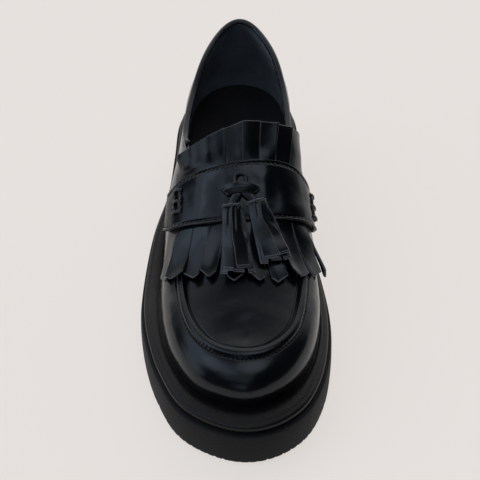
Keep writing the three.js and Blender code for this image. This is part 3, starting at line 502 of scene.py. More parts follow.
class Patchwork:
    def __init__(self):
        self.points, self.faces, self.cuts, self.count = [], [], [], 0

    def grid(self, points, wrap=False, cut=0.0):
        points = np.asarray(points, float)
        rows, columns = points.shape[:2]
        at = self.count + np.arange(rows * columns).reshape(rows, columns)
        if wrap:
            at = np.concatenate([at, at[:, :1]], 1)
        quads = np.stack([at[:-1, :-1], at[:-1, 1:], at[1:, 1:], at[1:, :-1]], -1)
        self.points.append(points.reshape(-1, 3))
        self.cuts.append(np.broadcast_to(cut, (rows, columns)).ravel())
        self.faces.append(quads.reshape(-1, 4))
        self.count += rows * columns

    # A tube of rings. Each end is closed by joining the ring's first half to its second.
    def tube(self, rings, cut=0.0, end_cut=0.0):
        self.grid(rings, wrap=True, cut=cut)
        for ring in (rings[0], rings[-1]):
            half = len(ring) // 2
            self.grid(np.stack([ring[:half], ring[half:][::-1]]), cut=end_cut)

    def piece(self, name, finish, slot, replaces=(), sharp=LEATHER_SHARP):
        mesh = bpy.data.meshes.new(name)
        points = (np.concatenate(self.points) + PLAN_SHIFT) * MM
        mesh.from_pydata(points.tolist(), [], np.concatenate(self.faces).tolist())
        cuts = np.concatenate(self.cuts).astype(np.float32)
        # The cut attribute says where the paler edge, partly a painted highlight, is painted.
        if cuts.any():
            mesh.attributes.new("cut", "FLOAT", "POINT").data.foreach_set("value", cuts)
        work = bmesh.new()
        work.from_mesh(mesh)
        bmesh.ops.remove_doubles(work, verts=work.verts, dist=WELD_REACH)
        bmesh.ops.dissolve_degenerate(work, edges=work.edges, dist=SLIVER)
        bmesh.ops.recalc_face_normals(work, faces=work.faces)
        if work.calc_volume(signed=True) < 0:
            bmesh.ops.reverse_faces(work, faces=work.faces)
        open_edges = sum(len(edge.link_faces) != 2 for edge in work.edges)
        work.to_mesh(mesh)
        work.free()
        mesh.shade_smooth()
        mesh.set_sharp_from_angle(angle=math.radians(sharp))
        mesh.materials.append(finish)
        piece = bpy.data.objects.new(name, mesh)
        scene.collection.objects.link(piece)
        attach(piece, "root")
        if replaces:
            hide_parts(*replaces)
        mesh.calc_loop_triangles()
        print(name, len(mesh.loop_triangles), "triangles,", open_edges, "open edges")


# %% [markdown]
# ## Upper
# The upper is cut from two parts that meet in a moccasin seam: the wall that goes round the foot and the
# apron on top. The wall's edge is gathered and rolled over the apron's, which leaves a round ridge, a
# stitched groove outside it and fine puckers across it. One surface with this relief raised from the
# last is simpler than two sewn sheets, and it keeps the seam continuous. The puckers follow the length
# of the seam, so they stay even round the toe.

# %% Relief of the moccasin seam
# Heights and depths are in millimetres. Each rise or bell has its place up the wall, as u, and its width.
RIDGE_HEIGHT, CROWN_HEIGHT, GROOVE_DEPTH, LINE_DEPTH, PUCKER_DEPTH = 1.1, 0.3, 0.7, 0.3, 0.2
RIDGE_AT, FALL_AT = (0.795, 0.055), (0.935, 0.07)
CROWN_AT, GROOVE_AT, LINE_AT, PUCKER_AT = (0.885, 0.035), (0.787, 0.011), (1.012, 0.012), (0.812, 0.022)
PUCKER_PITCH = 2.5
SEAM_START, SEAM_LEVEL = 0.6, 0.79


def seam_strength(p):
    past = np.minimum(p, 2 * TOE_ROW - p) - THROAT_ROW
    return ease(past - SEAM_START)


SEAM_STATIONS = np.linspace(THROAT_ROW, THROAT_END, 900)
seam_length = run_along(last_point(SEAM_STATIONS, SEAM_LEVEL))


def seam_relief(p, u):
    def rise(place):
        return ease((u - place[0]) / place[1])

    def hill(place):
        return bell(u - place[0], place[1])

    run = np.interp(p, SEAM_STATIONS, seam_length)
    turn = np.cos(2 * math.pi * run / PUCKER_PITCH + 1.2 * np.sin(run / 9) + 0.7 * np.sin(run / 3.7))
    uneven = 0.55 + 0.45 * np.sin(run / 5.3) * np.sin(run / 13 + 1)
    wall = RIDGE_HEIGHT * rise(RIDGE_AT) - (RIDGE_HEIGHT + APRON_RECESS) * rise(FALL_AT)
    lines = GROOVE_DEPTH * hill(GROOVE_AT) + LINE_DEPTH * hill(LINE_AT) - CROWN_HEIGHT * hill(CROWN_AT)
    return seam_strength(p) * (wall - lines + PUCKER_DEPTH * uneven * turn * hill(PUCKER_AT))


print("moccasin seam", round(float(seam_length[-1])), "mm long")

# %% Soft creases
# Each crease is a shallow fold between two places on the last, given as p and u, with its depth and the
# half width of its trough in millimetres.
CREASES = [
    (6.9, 0.30, 7.5, 0.62, 0.28, 3.2),
    (7.5, 0.22, 8.0, 0.50, 0.18, 2.6),
    (15.0, 0.30, 14.5, 0.60, 0.26, 3.0),
    (14.3, 0.24, 13.9, 0.50, 0.16, 2.4),
    (7.4, 1.15, 7.3, 1.95, 0.16, 3.4),
    (14.6, 1.15, 14.7, 1.95, 0.16, 3.4),
    (1.6, 0.25, 2.4, 0.5, 0.2, 3.0),
    (20.4, 0.25, 19.6, 0.5, 0.2, 3.0),
]


def crease_depth(points):
    total = np.zeros(points.shape[:-1])
    for p0, u0, p1, u1, depth, width in CREASES:
        start, end = last_point(p0, u0), last_point(p1, u1)
        line = end - start
        share = np.clip(((points - start) @ line) / (line @ line), -0.2, 1.2)
        away = np.linalg.norm(points - start - share[..., None] * line, axis=-1)
        fade = ease((share + 0.2) / 0.4) * ease((1.2 - share) / 0.4)
        total += depth * fade * bell(away, width)
    return total


# %% A wall of leather between two depths
# The wall has an outer and an inner face up to its top edge, and the same over the vamp in front of the
# throat. Both faces are joined at the foot, round the collar and at the two ends of the throat.
def leather_wall(stations, wall_levels, vamp_levels, outer, inner):
    wall = Patchwork()
    vamp = stations[(stations >= THROAT_ROW) & (stations <= THROAT_END)]
    back = ROWS + stations[1:][stations[1:] <= THROAT_ROW]
    collar = np.concatenate([stations[stations >= vamp[-1]], back])

    def faces(line, levels):
        p, u = np.meshgrid(line, levels)
        for depth in (outer, inner):
            yield raised(p, u, depth)

    for pair in zip(faces(stations, wall_levels), faces(vamp, vamp_levels)):
        for face in pair:
            wall.grid(face)
    for line, level in ((stations, 0.0), (collar, 1.0)):
        wall.grid(np.concatenate(list(faces(line, [level]))))
    for p in (THROAT_ROW, THROAT_END):
        wall.grid(np.concatenate(list(faces([p], vamp_levels)), 1))
    return wall


# %% Outer leather
LEATHER = 1.3
CLEAR = 0.08
FINE_ROW = 30
RING = np.concatenate([
    np.arange(0, THROAT_ROW, 0.1),
    np.arange(THROAT_ROW, THROAT_END, 1 / FINE_ROW),
    np.linspace(THROAT_END, ROWS, 51),
])
WALL_LEVELS = np.concatenate([np.linspace(0, 0.72, 21), np.linspace(0.72, 1, 37)[1:]])
VAMP_LEVELS = np.concatenate([np.linspace(1, 1.12, 15), np.linspace(1.12, 2, 31)[1:]])


def leather_face(p, u):
    return seam_relief(p, u) - crease_depth(last_point(p, u))


# Inside, the apron lies lower than the wall by its recess, with a softer step.
def inner_face(depth):
    return lambda p, u: -depth - seam_strength(p) * APRON_RECESS * ease((u - 0.85) / 0.22)


upper = leather_wall(RING, WALL_LEVELS, VAMP_LEVELS, leather_face, inner_face(LEATHER))
upper.piece("upper_leather", upper_finish, "polished_leather", ["upper"])

# %% [markdown]
# ## Lining
# Inside the leather lies a thinner lining, cut to the same pattern. It is the same wall built at a
# greater depth, as its own piece, because it is another material and shows from above.

# %% Lining
lining_rings = np.linspace(0, ROWS, ROWS * 12 + 1), np.linspace(0, 1, 17), np.linspace(1, 2, 13)
lining = leather_wall(*lining_rings, inner_face(LEATHER + CLEAR), inner_face(UPPER_WALL))
lining.piece("upper_lining", lining_with_painted_light, "lining_leather")

# %% [markdown]
# ## Collar roll
# A narrow strip of leather is rolled over the top edge of the upper all round the foot opening. It is
# swept as an oval along that edge. Its ends taper away under the kiltie, where they are sewn down.

# %% Collar roll
COLLAR_FROM, COLLAR_TO = 17.72, ROWS + 4.6
ROLL_WIDTH, ROLL_HEIGHT = 3.6, 2.6


def collar_frame(p):
    def middle(q):
        return last_point(q, 1.0) - last_normal(q, 1.0) * UPPER_WALL / 2

    run = unit(middle(p + SIDE_STEP) - middle(p - SIDE_STEP))
    across = last_normal(p, 1.0)
    across = unit(across - run * (across * run).sum(-1, keepdims=True))
    up = np.cross(across, run)
    up = np.where(up[..., 2:] < 0, -up, up)
    return middle(p), across, up


collar_p = np.linspace(COLLAR_FROM, COLLAR_TO, 260)
centre, across, up = (value[:, None] for value in collar_frame(collar_p))
turn = np.linspace(0, 2 * math.pi, 20, endpoint=False)[None, :, None]
end_reach = np.minimum(collar_p - COLLAR_FROM, COLLAR_TO - collar_p)
taper = np.sqrt(np.clip(end_reach / 0.06, 0.02, 1))[:, None, None]
lift = GAP + 0.1 + ROLL_HEIGHT / 2 * (1 + taper * np.sin(turn))
roll_points = centre + across * taper * ROLL_WIDTH / 2 * np.cos(turn) + up * lift
roll = Patchwork()
roll.tube(roll_points)
roll.piece("collar_roll", roll_finish, "polished_leather", ["collar_binding"])

# %% [markdown]
# ## Sole
# The sole is three layers: a foam outsole, a welt of rubber on it, and the footbed inside the shoe. Each
# is a stack of rings that follow the last's outline at some distance, closed across at the bottom and
# the top. The outsole's rings are close together, so that the tread's grooves and the small notches
# along its edge can be part of the same surface.

# %% Rings round the sole
MIDSOLE_INSET = 1.8
SOLE_STATIONS = np.linspace(0, ROWS, ROWS * 24, endpoint=False)


def along_of(y):
    return (HEEL_Y - y) / LAST_LENGTH


def ring_of(p, out_by, height):
    plan = feather(p) + feather_out(p)[..., :2] * out_by
    return xyz(plan[..., 0], plan[..., 1], height(along_of(plan[..., 1])))


def side_ring(p, inset, height):
    return ring_of(p, (smooth_rows(SECTIONS, p)[..., LEDGE] * TOE_LEDGE - inset)[..., None], height)


def level(height):
    return lambda spots: height(along_of(spots[..., 1]))


# Two stations face each other across the sole, so a face joins the first half of a ring to the second.
# Under and top are each a number of rows and a height for the points of that face.
def sole_piece(name, rings, under, top, finish, slot, node):
    body = Patchwork()
    body.grid(np.array(rings), wrap=True)
    for ring, (inner, height) in ((rings[0], under), (rings[-1], top)):
        half = len(ring) // 2
        near, far = ring[: half + 1], np.concatenate([ring[half:], ring[:1]])[::-1]
        share = np.linspace(0, 1, inner + 1)[:, None, None]
        between = near[None] * (1 - share) + far[None] * share
        between[1:-1, :, 2] = height(between[1:-1])
        body.grid(between)
    body.piece(name, finish, slot, [node], SOLE_SHARP)


# %% Welt
WELT_SINK, WELT_SWELL = 0.3, 0.55
# Pairs of how far a ring is set in from the welt's edge, and how high it lies over the outsole's top.
WELT_PROFILE = [
    (1.1, 0.0), (0.55, 0.3), (0.2, 0.9), (0.05, 1.5), (0.0, 2.2), (0.08, 2.8),
    (0.35, 3.35), (0.8, 3.75), (1.4, 4.05), (2.1, 4.25), (2.9, 4.36),
]
welt_rings = [
    side_ring(SOLE_STATIONS, MIDSOLE_INSET + inset, above(outsole_top, rise))
    for inset, rise in WELT_PROFILE
]
outer_ring = welt_rings[-1]
inner_ring, hidden_ring = (ring_of(SOLE_STATIONS, out_by, platform_top) for out_by in (0.8, -4))
for share in (0.08, 0.2, 0.35, 0.5, 0.65, 0.8, 0.9):
    ring = mix(outer_ring, inner_ring, share)
    ring[:, 2] += WELT_SWELL * math.sin(math.pi * share ** 0.7) - WELT_SINK * ease((share - 0.6) / 0.3)
    welt_rings.append(ring)
welt_rings += [inner_ring - [0, 0, WELT_SINK], hidden_ring - [0, 0, WELT_SINK]]
welt_faces = [(8, level(above(outsole_top, rise))) for rise in (0, MIDSOLE_THICKNESS - WELT_SINK)]
sole_piece("welt_strip", welt_rings, *welt_faces, welt_finish, "welt_rubber", "midsole")

# %% Tread of the outsole
ARCH_HEIGHT = 9
# Along the sole: where the heel's breast and the arch's far end start, and the length of each.
BREAST, ARCH_END = (0.29, 0.035), (0.34, 0.19)
NOTCH_PITCH, NOTCH_WIDTH, NOTCH_DEPTH = 5.1, 0.8, 0.6
TREAD_WIDTH, TREAD_DEPTH = 1.8, 1.3
TREAD_AT = np.concatenate([np.linspace(0.05, 0.26, 6), np.linspace(0.57, 0.9, 9)])


def tread_height(along):
    breast, end = (ease((along - start) / length) for start, length in (BREAST, ARCH_END))
    return ARCH_HEIGHT * breast * (1 - end) + toe_spring(along)


def tread_groove(along):
    away = np.abs(along[..., None] - TREAD_AT).min(-1) * LAST_LENGTH
    return TREAD_DEPTH * ease((TREAD_WIDTH / 2 + 0.35 - away) / 0.7)


FINE_STATIONS = np.linspace(0, ROWS, ROWS * 56, endpoint=False)
edge_run = run_along(side_ring(FINE_STATIONS, 0, tread_height))
notch_count = round(edge_run[-1] / NOTCH_PITCH)
ragged = np.random.default_rng(5).uniform(-0.5, 0.5, (notch_count + 1, 2))


# A notch is cut at every pitch along the edge, a little uneven, as a moulded foam edge is.
def notch(run):
    at = run / edge_run[-1] * notch_count
    which = np.floor(at).astype(int)
    away = np.abs(at - which - 0.5 - 0.16 * ragged[which, 0]) * NOTCH_PITCH
    depth = NOTCH_DEPTH * (1 + 1.2 * ragged[which, 1])
    return depth * ease((NOTCH_WIDTH / 2 + 0.4 - away) / 0.6)


print("outsole edge", round(float(edge_run[-1])), "mm with", notch_count, "notches")

# %% Foam outsole
# Each row gives a ring's inset, its height between the tread, 0, and the outsole's top, 1, an added
# height, and how much of the tread's notches it takes.
GROOVE_INSET = MIDSOLE_INSET + 1.6
SOLE_PROFILE = [
    (15.0, 0, 0.0, 0.0), (7.0, 0, 0.0, 0.0), (6.0, 0, 0.0, 0.8), (1.0, 0, 0.0, 1.0),
    (0.45, 0, 0.25, 1.0), (0.1, 0, 0.75, 1.0), (-0.05, 0, 1.6, 0.55), (-0.15, 0, 2.6, 0.0),
    (-0.4, 0.3, 0.0, 0.0), (-0.5, 0.5, 0.0, 0.0), (-0.35, 0.75, 0.0, 0.0), (0.0, 1, -2.9, 0.0),
    (0.1, 1, -2.3, 0.0), (0.4, 1, -1.85, 0.0), (0.9, 1, -1.6, 0.0), (2.0, 1, -1.5, 0.0),
    (GROOVE_INSET - 0.2, 1, -1.35, 0.0), (GROOVE_INSET, 1, -1.1, 0.0), (GROOVE_INSET, 1, 0.0, 0.0),
]
NOTCHED_UNDER, NOTCH_FADE = 3.2, 2.4


def sole_ring(inset, share, add, cut):
    def height(along):
        return mix(tread_height(along), outsole_top(along), share) + add

    ring = side_ring(FINE_STATIONS, inset, height)
    if share == 0:
        groove = tread_groove(along_of(ring[:, 1])) * ease((NOTCHED_UNDER - add) / NOTCH_FADE)
        ring[:, 2] += np.maximum(groove, cut * notch(edge_run))
    return ring


def tread_face(along):
    return tread_height(along) + tread_groove(along)


sole_rings = [sole_ring(*row) for row in SOLE_PROFILE]
sole_faces = (10, level(tread_face)), (4, level(outsole_top))
sole_piece("foam_outsole", sole_rings, *sole_faces, foam_finish, "sole_foam", "outsole")

# %% Footbed
INSOLE_EASE = 0.45
FOOTBED_TOP = 3.42
# Depth, place along and reach of the hollows under the heel and the ball.
PRESSED, PRESSED_WIDTH = [(0.5, 0.14, 0.09), (0.35, 0.68, 0.1)], 24
# Pairs of how far a ring is set in and how high it lies over the midsole.
FOOTBED_PROFILE = [
    (0.5, 0.0), (0.1, 0.25), (0.0, 0.8), (0.0, 2.6),
    (0.12, 3.1), (0.5, 3.4), (1.1, 3.5), (4.0, FOOTBED_TOP),
]


# The footbed is pressed in a little under the heel and the ball.
def footbed_face(spots):
    along = along_of(spots[..., 1])
    pressed = sum(depth * bell(along - at, reach) for depth, at, reach in PRESSED)
    return above(platform_top, FOOTBED_TOP)(along) - pressed * bell(spots[..., 0], PRESSED_WIDTH)


footbed_rings = [
    ring_of(SOLE_STATIONS, -UPPER_WALL - INSOLE_EASE - inset, above(platform_top, rise))
    for inset, rise in FOOTBED_PROFILE
]
footbed_faces = (6, level(above(platform_top, 0))), (14, footbed_face)
sole_piece("foot_bed", footbed_rings, *footbed_faces, footbed_finish, "insole_leather", "insole")

# %% [markdown]
# ## A sheet over the instep
# The kiltie, the strap and the tassels all lie over the instep like cloth over a pillow. They are laid
# out flat first: t runs towards the toe from the middle of the strap, s round the instep from its crest
# towards the inner side, and h is the height above it, all in millimetres. Rays from a line inside the
# foot find the instep's surface, and the distances along it give the flat pattern its true lengths.

# %% Find the instep with rays
INSTEP_TILT = math.radians(27)
STRAP_ROW = 5.67
ALONG_INSTEP = np.array([0, -math.cos(INSTEP_TILT), -math.sin(INSTEP_TILT)])
UP_INSTEP = np.array([0, -math.sin(INSTEP_TILT), math.cos(INSTEP_TILT)])
COVER = np.array([[0.7, 0], [0.8, 0.6], [0.86, 1.1], [0.98, 1.1], [1.1, 0.5], [1.4, -1.1], [2.0, -1.6]])


def cover_relief(p, u):
    return seam_strength(p) * np.interp(u, COVER[:, 0], COVER[:, 1])


def bare(p, u):
    return 0 * p


# Columns: first and last row, number of stations, lowest and highest level, levels and relief.
COVERED = [
    (0, ROWS, 221, 0, 1, 41, cover_relief), (THROAT_ROW, THROAT_END, 145, 1, 2, 25, cover_relief),
    (CONE_ROW, THROAT_ROW, 21, 1, 2, 25, bare), (THROAT_END, ROWS - CONE_ROW, 21, 1, 2, 25, bare),
]


def instep_tree():
    form = Patchwork()
    for first, last, stations, low, high, levels, relief in COVERED:
        p, u = np.meshgrid(np.linspace(first, last, stations), np.linspace(low, high, levels))
        form.grid(raised(p, u, relief))
    return BVHTree.FromPolygons(np.concatenate(form.points).tolist(), np.concatenate(form.faces).tolist())


instep = instep_tree()
SHEET_STEP, SHEET_FROM, SHEET_TO, SHEET_HALF = 1.5, -54, 72, 93
sheet_t = np.arange(SHEET_FROM, SHEET_TO + 0.1, SHEET_STEP)
sheet_s = np.arange(-SHEET_HALF, SHEET_HALF + 0.1, SHEET_STEP)
RAY_DEPTH, FAR_STEPS, SHEET_SMOOTHINGS = 30, 20, 5
ray_origin = crest(STRAP_ROW)[0] - RAY_DEPTH * UP_INSTEP


def section_points(t, side):
    found = []
    for angle in np.radians(np.arange(0, 116, 2)):
        direction = UP_INSTEP * math.cos(angle) + np.array([side * math.sin(angle), 0, 0])
        hit = instep.ray_cast(Vector(ray_origin + t * ALONG_INSTEP), Vector(direction))[0]
        if hit is None:
            break
        found.append(hit)
    found = np.array(found)
    beyond = found[-1] + (found[-1] - found[-4]) * FAR_STEPS
    return np.concatenate([found, [beyond]])


def resampled(points, distances):
    run = run_along(points)
    return np.stack([np.interp(distances, run, points[:, axis]) for axis in range(3)], -1)


sheet_rows = []
for t in sheet_t:
    sides = (-1, sheet_s[sheet_s < 0]), (1, sheet_s[sheet_s >= 0])
    sheet_rows.append(np.concatenate([resampled(section_points(t, side), side * s) for side, s in sides]))
sheet = np.array(sheet_rows)
for _ in range(SHEET_SMOOTHINGS):
    sheet[1:-1] = (sheet[:-2] + 2 * sheet[1:-1] + sheet[2:]) / 4
    sheet[:, 1:-1] = (sheet[:, :-2] + 2 * sheet[:, 1:-1] + sheet[:, 2:]) / 4
sheet_normals = unit(np.cross(np.gradient(sheet, axis=0), np.gradient(sheet, axis=1)))
print("instep sheet", sheet.shape[:2], "points")


# %% Lay a flat pattern over the instep
def cubic_shares(share):
    square, cube = share ** 2, share ** 3
    first, last = (-cube + 2 * square - share) / 2, (cube - square) / 2
    second, third = (3 * cube - 5 * square + 2) / 2, (-3 * cube + 4 * square + share) / 2
    return np.stack([first, second, third, last], -1)


def sample(grid, i, j):
    row = np.clip(np.floor(i).astype(int), 1, grid.shape[0] - 3)
    column = np.clip(np.floor(j).astype(int), 1, grid.shape[1] - 3)
    row_share = cubic_shares(np.clip(i - row, 0, 1))
    column_share = cubic_shares(np.clip(j - column, 0, 1))
    total = 0
    for a in range(4):
        for b in range(4):
            weight = (row_share[..., a] * column_share[..., b])[..., None]
            total = total + weight * grid[row + a - 1, column + b - 1]
    return total


def over(t, s, h):
    t, s, h = np.broadcast_arrays(*(np.asarray(value, float) for value in (t, s, h)))
    i, j = (t - SHEET_FROM) / SHEET_STEP, (s + SHEET_HALF) / SHEET_STEP
    return sample(sheet, i, j) + unit(sample(sheet_normals, i, j)) * h[..., None]


# %% A strip of leather with rounded edges
# The section of a strip runs along its top face, round one edge, back along its lower face and round the
# other. Each of its points has a place across, from -1 to 1, and a height, from 0 to 1. A place function
# says where each share of the strip's length lies on the pattern.
EDGE_ROUND = 0.34
# How thick a strip is at its last four rows, as it is pressed thin at the ends.
END_TAPER = [0.3, 0.72, 0.93, 1.0]


def strip_section(face, half_width, thickness):
    round_across = min(EDGE_ROUND / half_width, 0.9)
    round_high = min(EDGE_ROUND / thickness, 0.5)
    bend = np.linspace(0, math.pi / 2, 5)[:-1]
    corner_w, corner_h = 1 - round_across * (1 - np.cos(bend)), 1 - round_high * (1 - np.sin(bend))
    flat_w = np.linspace(1 - round_across, round_across - 1, face)
    top_w = np.concatenate([corner_w, flat_w, -corner_w[::-1]])
    top_h = np.concatenate([corner_h, np.ones(face), corner_h[::-1]])
    return np.concatenate([top_w, top_w[::-1]]), np.concatenate([top_h, 1 - top_h[::-1]])


def add_strip(body, shares, place, thickness, half_width, face=9, relief=None, lay=over):
    across, high = strip_section(face, half_width, thickness)
    share, w = np.meshgrid(shares, across, indexing="ij")
    t, s, low = place(share, w)
    end_steps = np.minimum(np.arange(len(shares)), np.arange(len(shares))[::-1])
    shrink = np.interp(end_steps, range(4), END_TAPER)[:, None]
    height = 0.5 + (high - 0.5) * shrink
    extra = relief(share, w) * ease((height - 0.4) / 0.3) if relief else 0
    ring = lay(t, s, low + thickness * height + extra)
    # A strip's edges and ends are marked for the paler cut edge, which is partly a painted highlight.
    edge = ease((1.0 - np.abs(2 * high - 1)) / 0.3) * np.ones_like(share)
    end_edge = np.interp(end_steps, [1, 3], [1, 0])[:, None]
    body.tube(ring, np.maximum(end_edge, edge), 1.0)


STRIP_SHARES = np.concatenate([[0, 0.004, 0.012], np.linspace(0.03, 0.965, 30), [0.978, 0.99, 0.997, 1.0]])

# %% [markdown]
# ## Kiltie
# The kiltie is one piece of leather slit into strips at both ends. Towards the toe the strips end in
# points and spread apart as they hang; behind the strap the slits are short and the flap stands up in six
# panels. Each strip is laid by a table row, because hand-cut leather curls and drifts a little differently
# every time and a regular comb looks false.

# %% Kiltie sizes
KILTIE_THICKNESS = 1.4
KILTIE_MIDDLE, KILTIE_PITCH, KILTIE_STRIPS = -2.3, 9.3, 10
KILTIE_HALF = KILTIE_PITCH * KILTIE_STRIPS / 2
KILTIE_LEFT = KILTIE_MIDDLE - KILTIE_HALF
KILTIE_BASE = 17
KILTIE_SEAT = 0.5
KILTIE_TOP = KILTIE_SEAT + KILTIE_THICKNESS
FRINGE_LENGTH = 37
FRINGE_POINT = 4.5

# Columns: swing of the tip, its lift, added length, roll of the strip's edges, twist from side to side,
# and where across the strip its point lies.
FRINGE = [
    (-5.9, 1.2, -3.0, 0.3, 0.6, 0.2), (-5.7, 2.6, -2.0, 0.4, -0.9, -0.3), (-6.0, 1.2, -1.5, -0.2, 1.0, 0.3),
    (-5.3, 2.7, -1.5, 0.3, -0.8, 0.1), (0.6, 0.9, 1.0, -0.2, 0.6, -0.1), (4.2, 2.3, 1.5, 0.3, -0.9, 0.15),
    (7.2, 0.9, 1.5, -0.3, 0.8, -0.2), (9.2, 2.6, -2.0, 0.3, -0.9, 0.1), (10.8, 1.3, -5.0, 0.3, 0.9, -0.3),
    (12.5, 3.4, -8.0, 0.5, -0.8, -0.2),
]
# Columns, one row for each slit and end of the flap: how far it reaches behind, and how far it flares up.
FLAP = np.array([
    [8.4, 0.9], [9.8, 1.5], [12.6, 2.2], [16.3, 2.8], [20.0, 3.4], [23.6, 4.2],
    [24.0, 4.5], [23.4, 4.4], [23.5, 4.2], [24.5, 3.0], [22.0, 1.4],
])
# Columns, one row for each panel of the flap: its first and last slit, its tilt and its bow.
PANELS = [
    (0.62, 4, 0.5, 0.4), (4, 5, 0.1, -0.65), (5, 6, -0.7, 0.15),
    (6, 7, 1.15, -0.55), (7, 8, 0.8, -0.55), (8, 10, 0.9, 0.6),
]
FLAT_FROM, HINGE_STEP, FLAT_SHARE, FLAT_RAMP = -29.0, 3, 0.75, 7
CURL_FROM, CURL_WIDTH, CURL_DEPTH = 36.5, 7.5, 3.6
WIDE_PANEL, FOLD_DEPTH = 20, 0.22
PRESSED_IN = 0.15


# %% Kiltie
def flap_column(s, column):
    return np.interp((s - KILTIE_LEFT) / KILTIE_PITCH, np.arange(len(FLAP)), FLAP[:, column])


# The stiff side of the flap runs on straight where the foot curves away under it.
def flat_over(t, s, height):
    hinge = np.full_like(s, FLAT_FROM)
    outward = (over(t, hinge, height) - over(t, hinge + HINGE_STEP, height)) / HINGE_STEP
    flat = over(t, np.maximum(s, FLAT_FROM), height) + outward * np.maximum(FLAT_FROM - s, 0)[..., None]
    return mix(over(t, s, height), flat, FLAT_SHARE * ease((-KILTIE_BASE - t) / FLAT_RAMP)[..., None])


def lowest(height):
    return np.maximum(height, KILTIE_SEAT - PRESSED_IN)


def add_fringe(n, swing, lift, extra, roll_up, twist, peak):
    middle = KILTIE_LEFT + (n + 0.5) * KILTIE_PITCH

    def place(share, w):
        point = FRINGE_POINT * np.abs(w - peak) / (1 + abs(peak))
        t = KILTIE_BASE - 1 + (FRINGE_LENGTH + 1 + extra - point) * share
        half = KILTIE_PITCH / 2 + 0.05 - 0.2 * share
        start = ease(share / 0.4)
        wave = 0.3 * np.sin(6 * share + 1.7 * n) * start
        low = KILTIE_SEAT + lift * share ** 1.6 + (roll_up * w ** 2 + twist * w) * start + wave
        return t, middle + half * w + swing * share ** 1.4, lowest(low)

    add_strip(kiltie, STRIP_SHARES, place, KILTIE_THICKNESS, KILTIE_PITCH / 2)


def add_panel(first, last, tilt, bow):
    left, right = (KILTIE_LEFT + slit * KILTIE_PITCH for slit in (first, last))
    wide = right - left > WIDE_PANEL

    def place(share, w):
        s = (left + right) / 2 + w * ((right - left) / 2 - 0.12)
        t = -KILTIE_BASE + 1 - (flap_column(s, 0) + 1) * share
        folds = FOLD_DEPTH * np.cos(2 * math.pi * (s - KILTIE_LEFT) / KILTIE_PITCH)
        curl = CURL_DEPTH * ease((s - CURL_FROM) / CURL_WIDTH)
        bent = (tilt * w + bow * (1 - w ** 2) + folds * wide - curl) * ease(share / 0.5)
        return t, s, lowest(KILTIE_SEAT + flap_column(s, 1) * share ** 1.4 + bent)

    face, half = round(9 * (last - first)), (right - left) / 2
    add_strip(kiltie, STRIP_SHARES, place, KILTIE_THICKNESS, half, face, lay=flat_over)


def band_place(share, w):
    s = KILTIE_LEFT + 0.3 + share * (KILTIE_STRIPS * KILTIE_PITCH - 0.6)
    return w * KILTIE_BASE, s, 0 * w + KILTIE_SEAT


kiltie = Patchwork()
for n, row in enumerate(FRINGE):
    add_fringe(n, *row)
for row in PANELS:
    add_panel(*row)
add_strip(kiltie, np.linspace(0, 1, 90), band_place, KILTIE_THICKNESS, KILTIE_BASE)
kiltie.piece("kiltie_leather", strip_finish, "polished_leather", ["kiltie"])

# %% [markdown]
# ## Saddle strap
# The strap crosses the instep over the kiltie and is sewn down at both sides. Its edges are turned in, so
# they are round, and a row of stitches pulls a shallow dip beside each. The front edge has a thicker lip.
# The whole strap is one strip laid across the sheet, with this relief on its top face. Its table gives
# the place across as a share of its reach, and its back and front edge as shares of its width.

# %% Saddle strap
STRAP_WIDTH, STRAP_THICKNESS, STRAP_LIP = 36, 1.8, 0.75
STRAP_REACH, STRAP_CORNER = 55, 4
STRAP_SEAT = KILTIE_TOP + 0.5
STITCH_IN, STITCH_DIP, STRAP_SWELL = 2.2, 0.5, 0.25
EDGE_SOFTENING = 0.07
STRAP_EDGES = np.array([
    [-1.0, -0.06, 0.43], [-0.94, -0.125, 0.5], [-0.83, -0.17, 0.55], [-0.69, -0.29, 0.555],
    [-0.41, -0.395, 0.535], [-0.17, -0.475, 0.495], [0.06, -0.515, 0.478], [0.28, -0.515, 0.472],
    [0.44, -0.485, 0.472], [0.55, -0.42, 0.467], [0.69, -0.305, 0.46], [0.83, -0.195, 0.485],
    [0.94, -0.14, 0.47], [1.0, -0.08, 0.4],
])


def strap_edge(s, column):
    steps = np.linspace(-EDGE_SOFTENING, EDGE_SOFTENING, 7)
    at, places, values = s / STRAP_REACH, STRAP_EDGES[:, 0], STRAP_EDGES[:, column]
    return STRAP_WIDTH * (sum(np.interp(at + step, places, values) for step in steps) / len(steps))


def strap_seat(s):
    end = KILTIE_HALF + KILTIE_MIDDLE * np.sign(s)
    return mix(STRAP_SEAT, KILTIE_SEAT, ease((np.abs(s) - end - 1.2) / 4))


def corner_inset(s):
    into = np.clip((np.abs(s) - STRAP_REACH + STRAP_CORNER) / STRAP_CORNER, 0, 0.995)
    return STRAP_CORNER * (1 - np.sqrt(1 - into ** 2))


def strap_place(share, w):
    s = STRAP_REACH * share
    inset = corner_inset(s)
    t = mix(strap_edge(s, 1) + inset, strap_edge(s, 2) - inset, (w + 1) / 2)
    return t, s, strap_seat(s)


# Slow waves of the leather. Columns: place along and across, reach along and across, and height.
STRAP_WAVES = [
    (0, -33, 14, 5, -0.6), (0, -25, 12, 5, 0.5), (3, -15, 9, 4, -0.3),
    (-2, 9.5, 14, 3.2, 0.35), (0, 15.5, 14, 3.5, -0.25), (6, 24, 10, 5, 0.25), (-6, 33, 9, 5, -0.3),
]


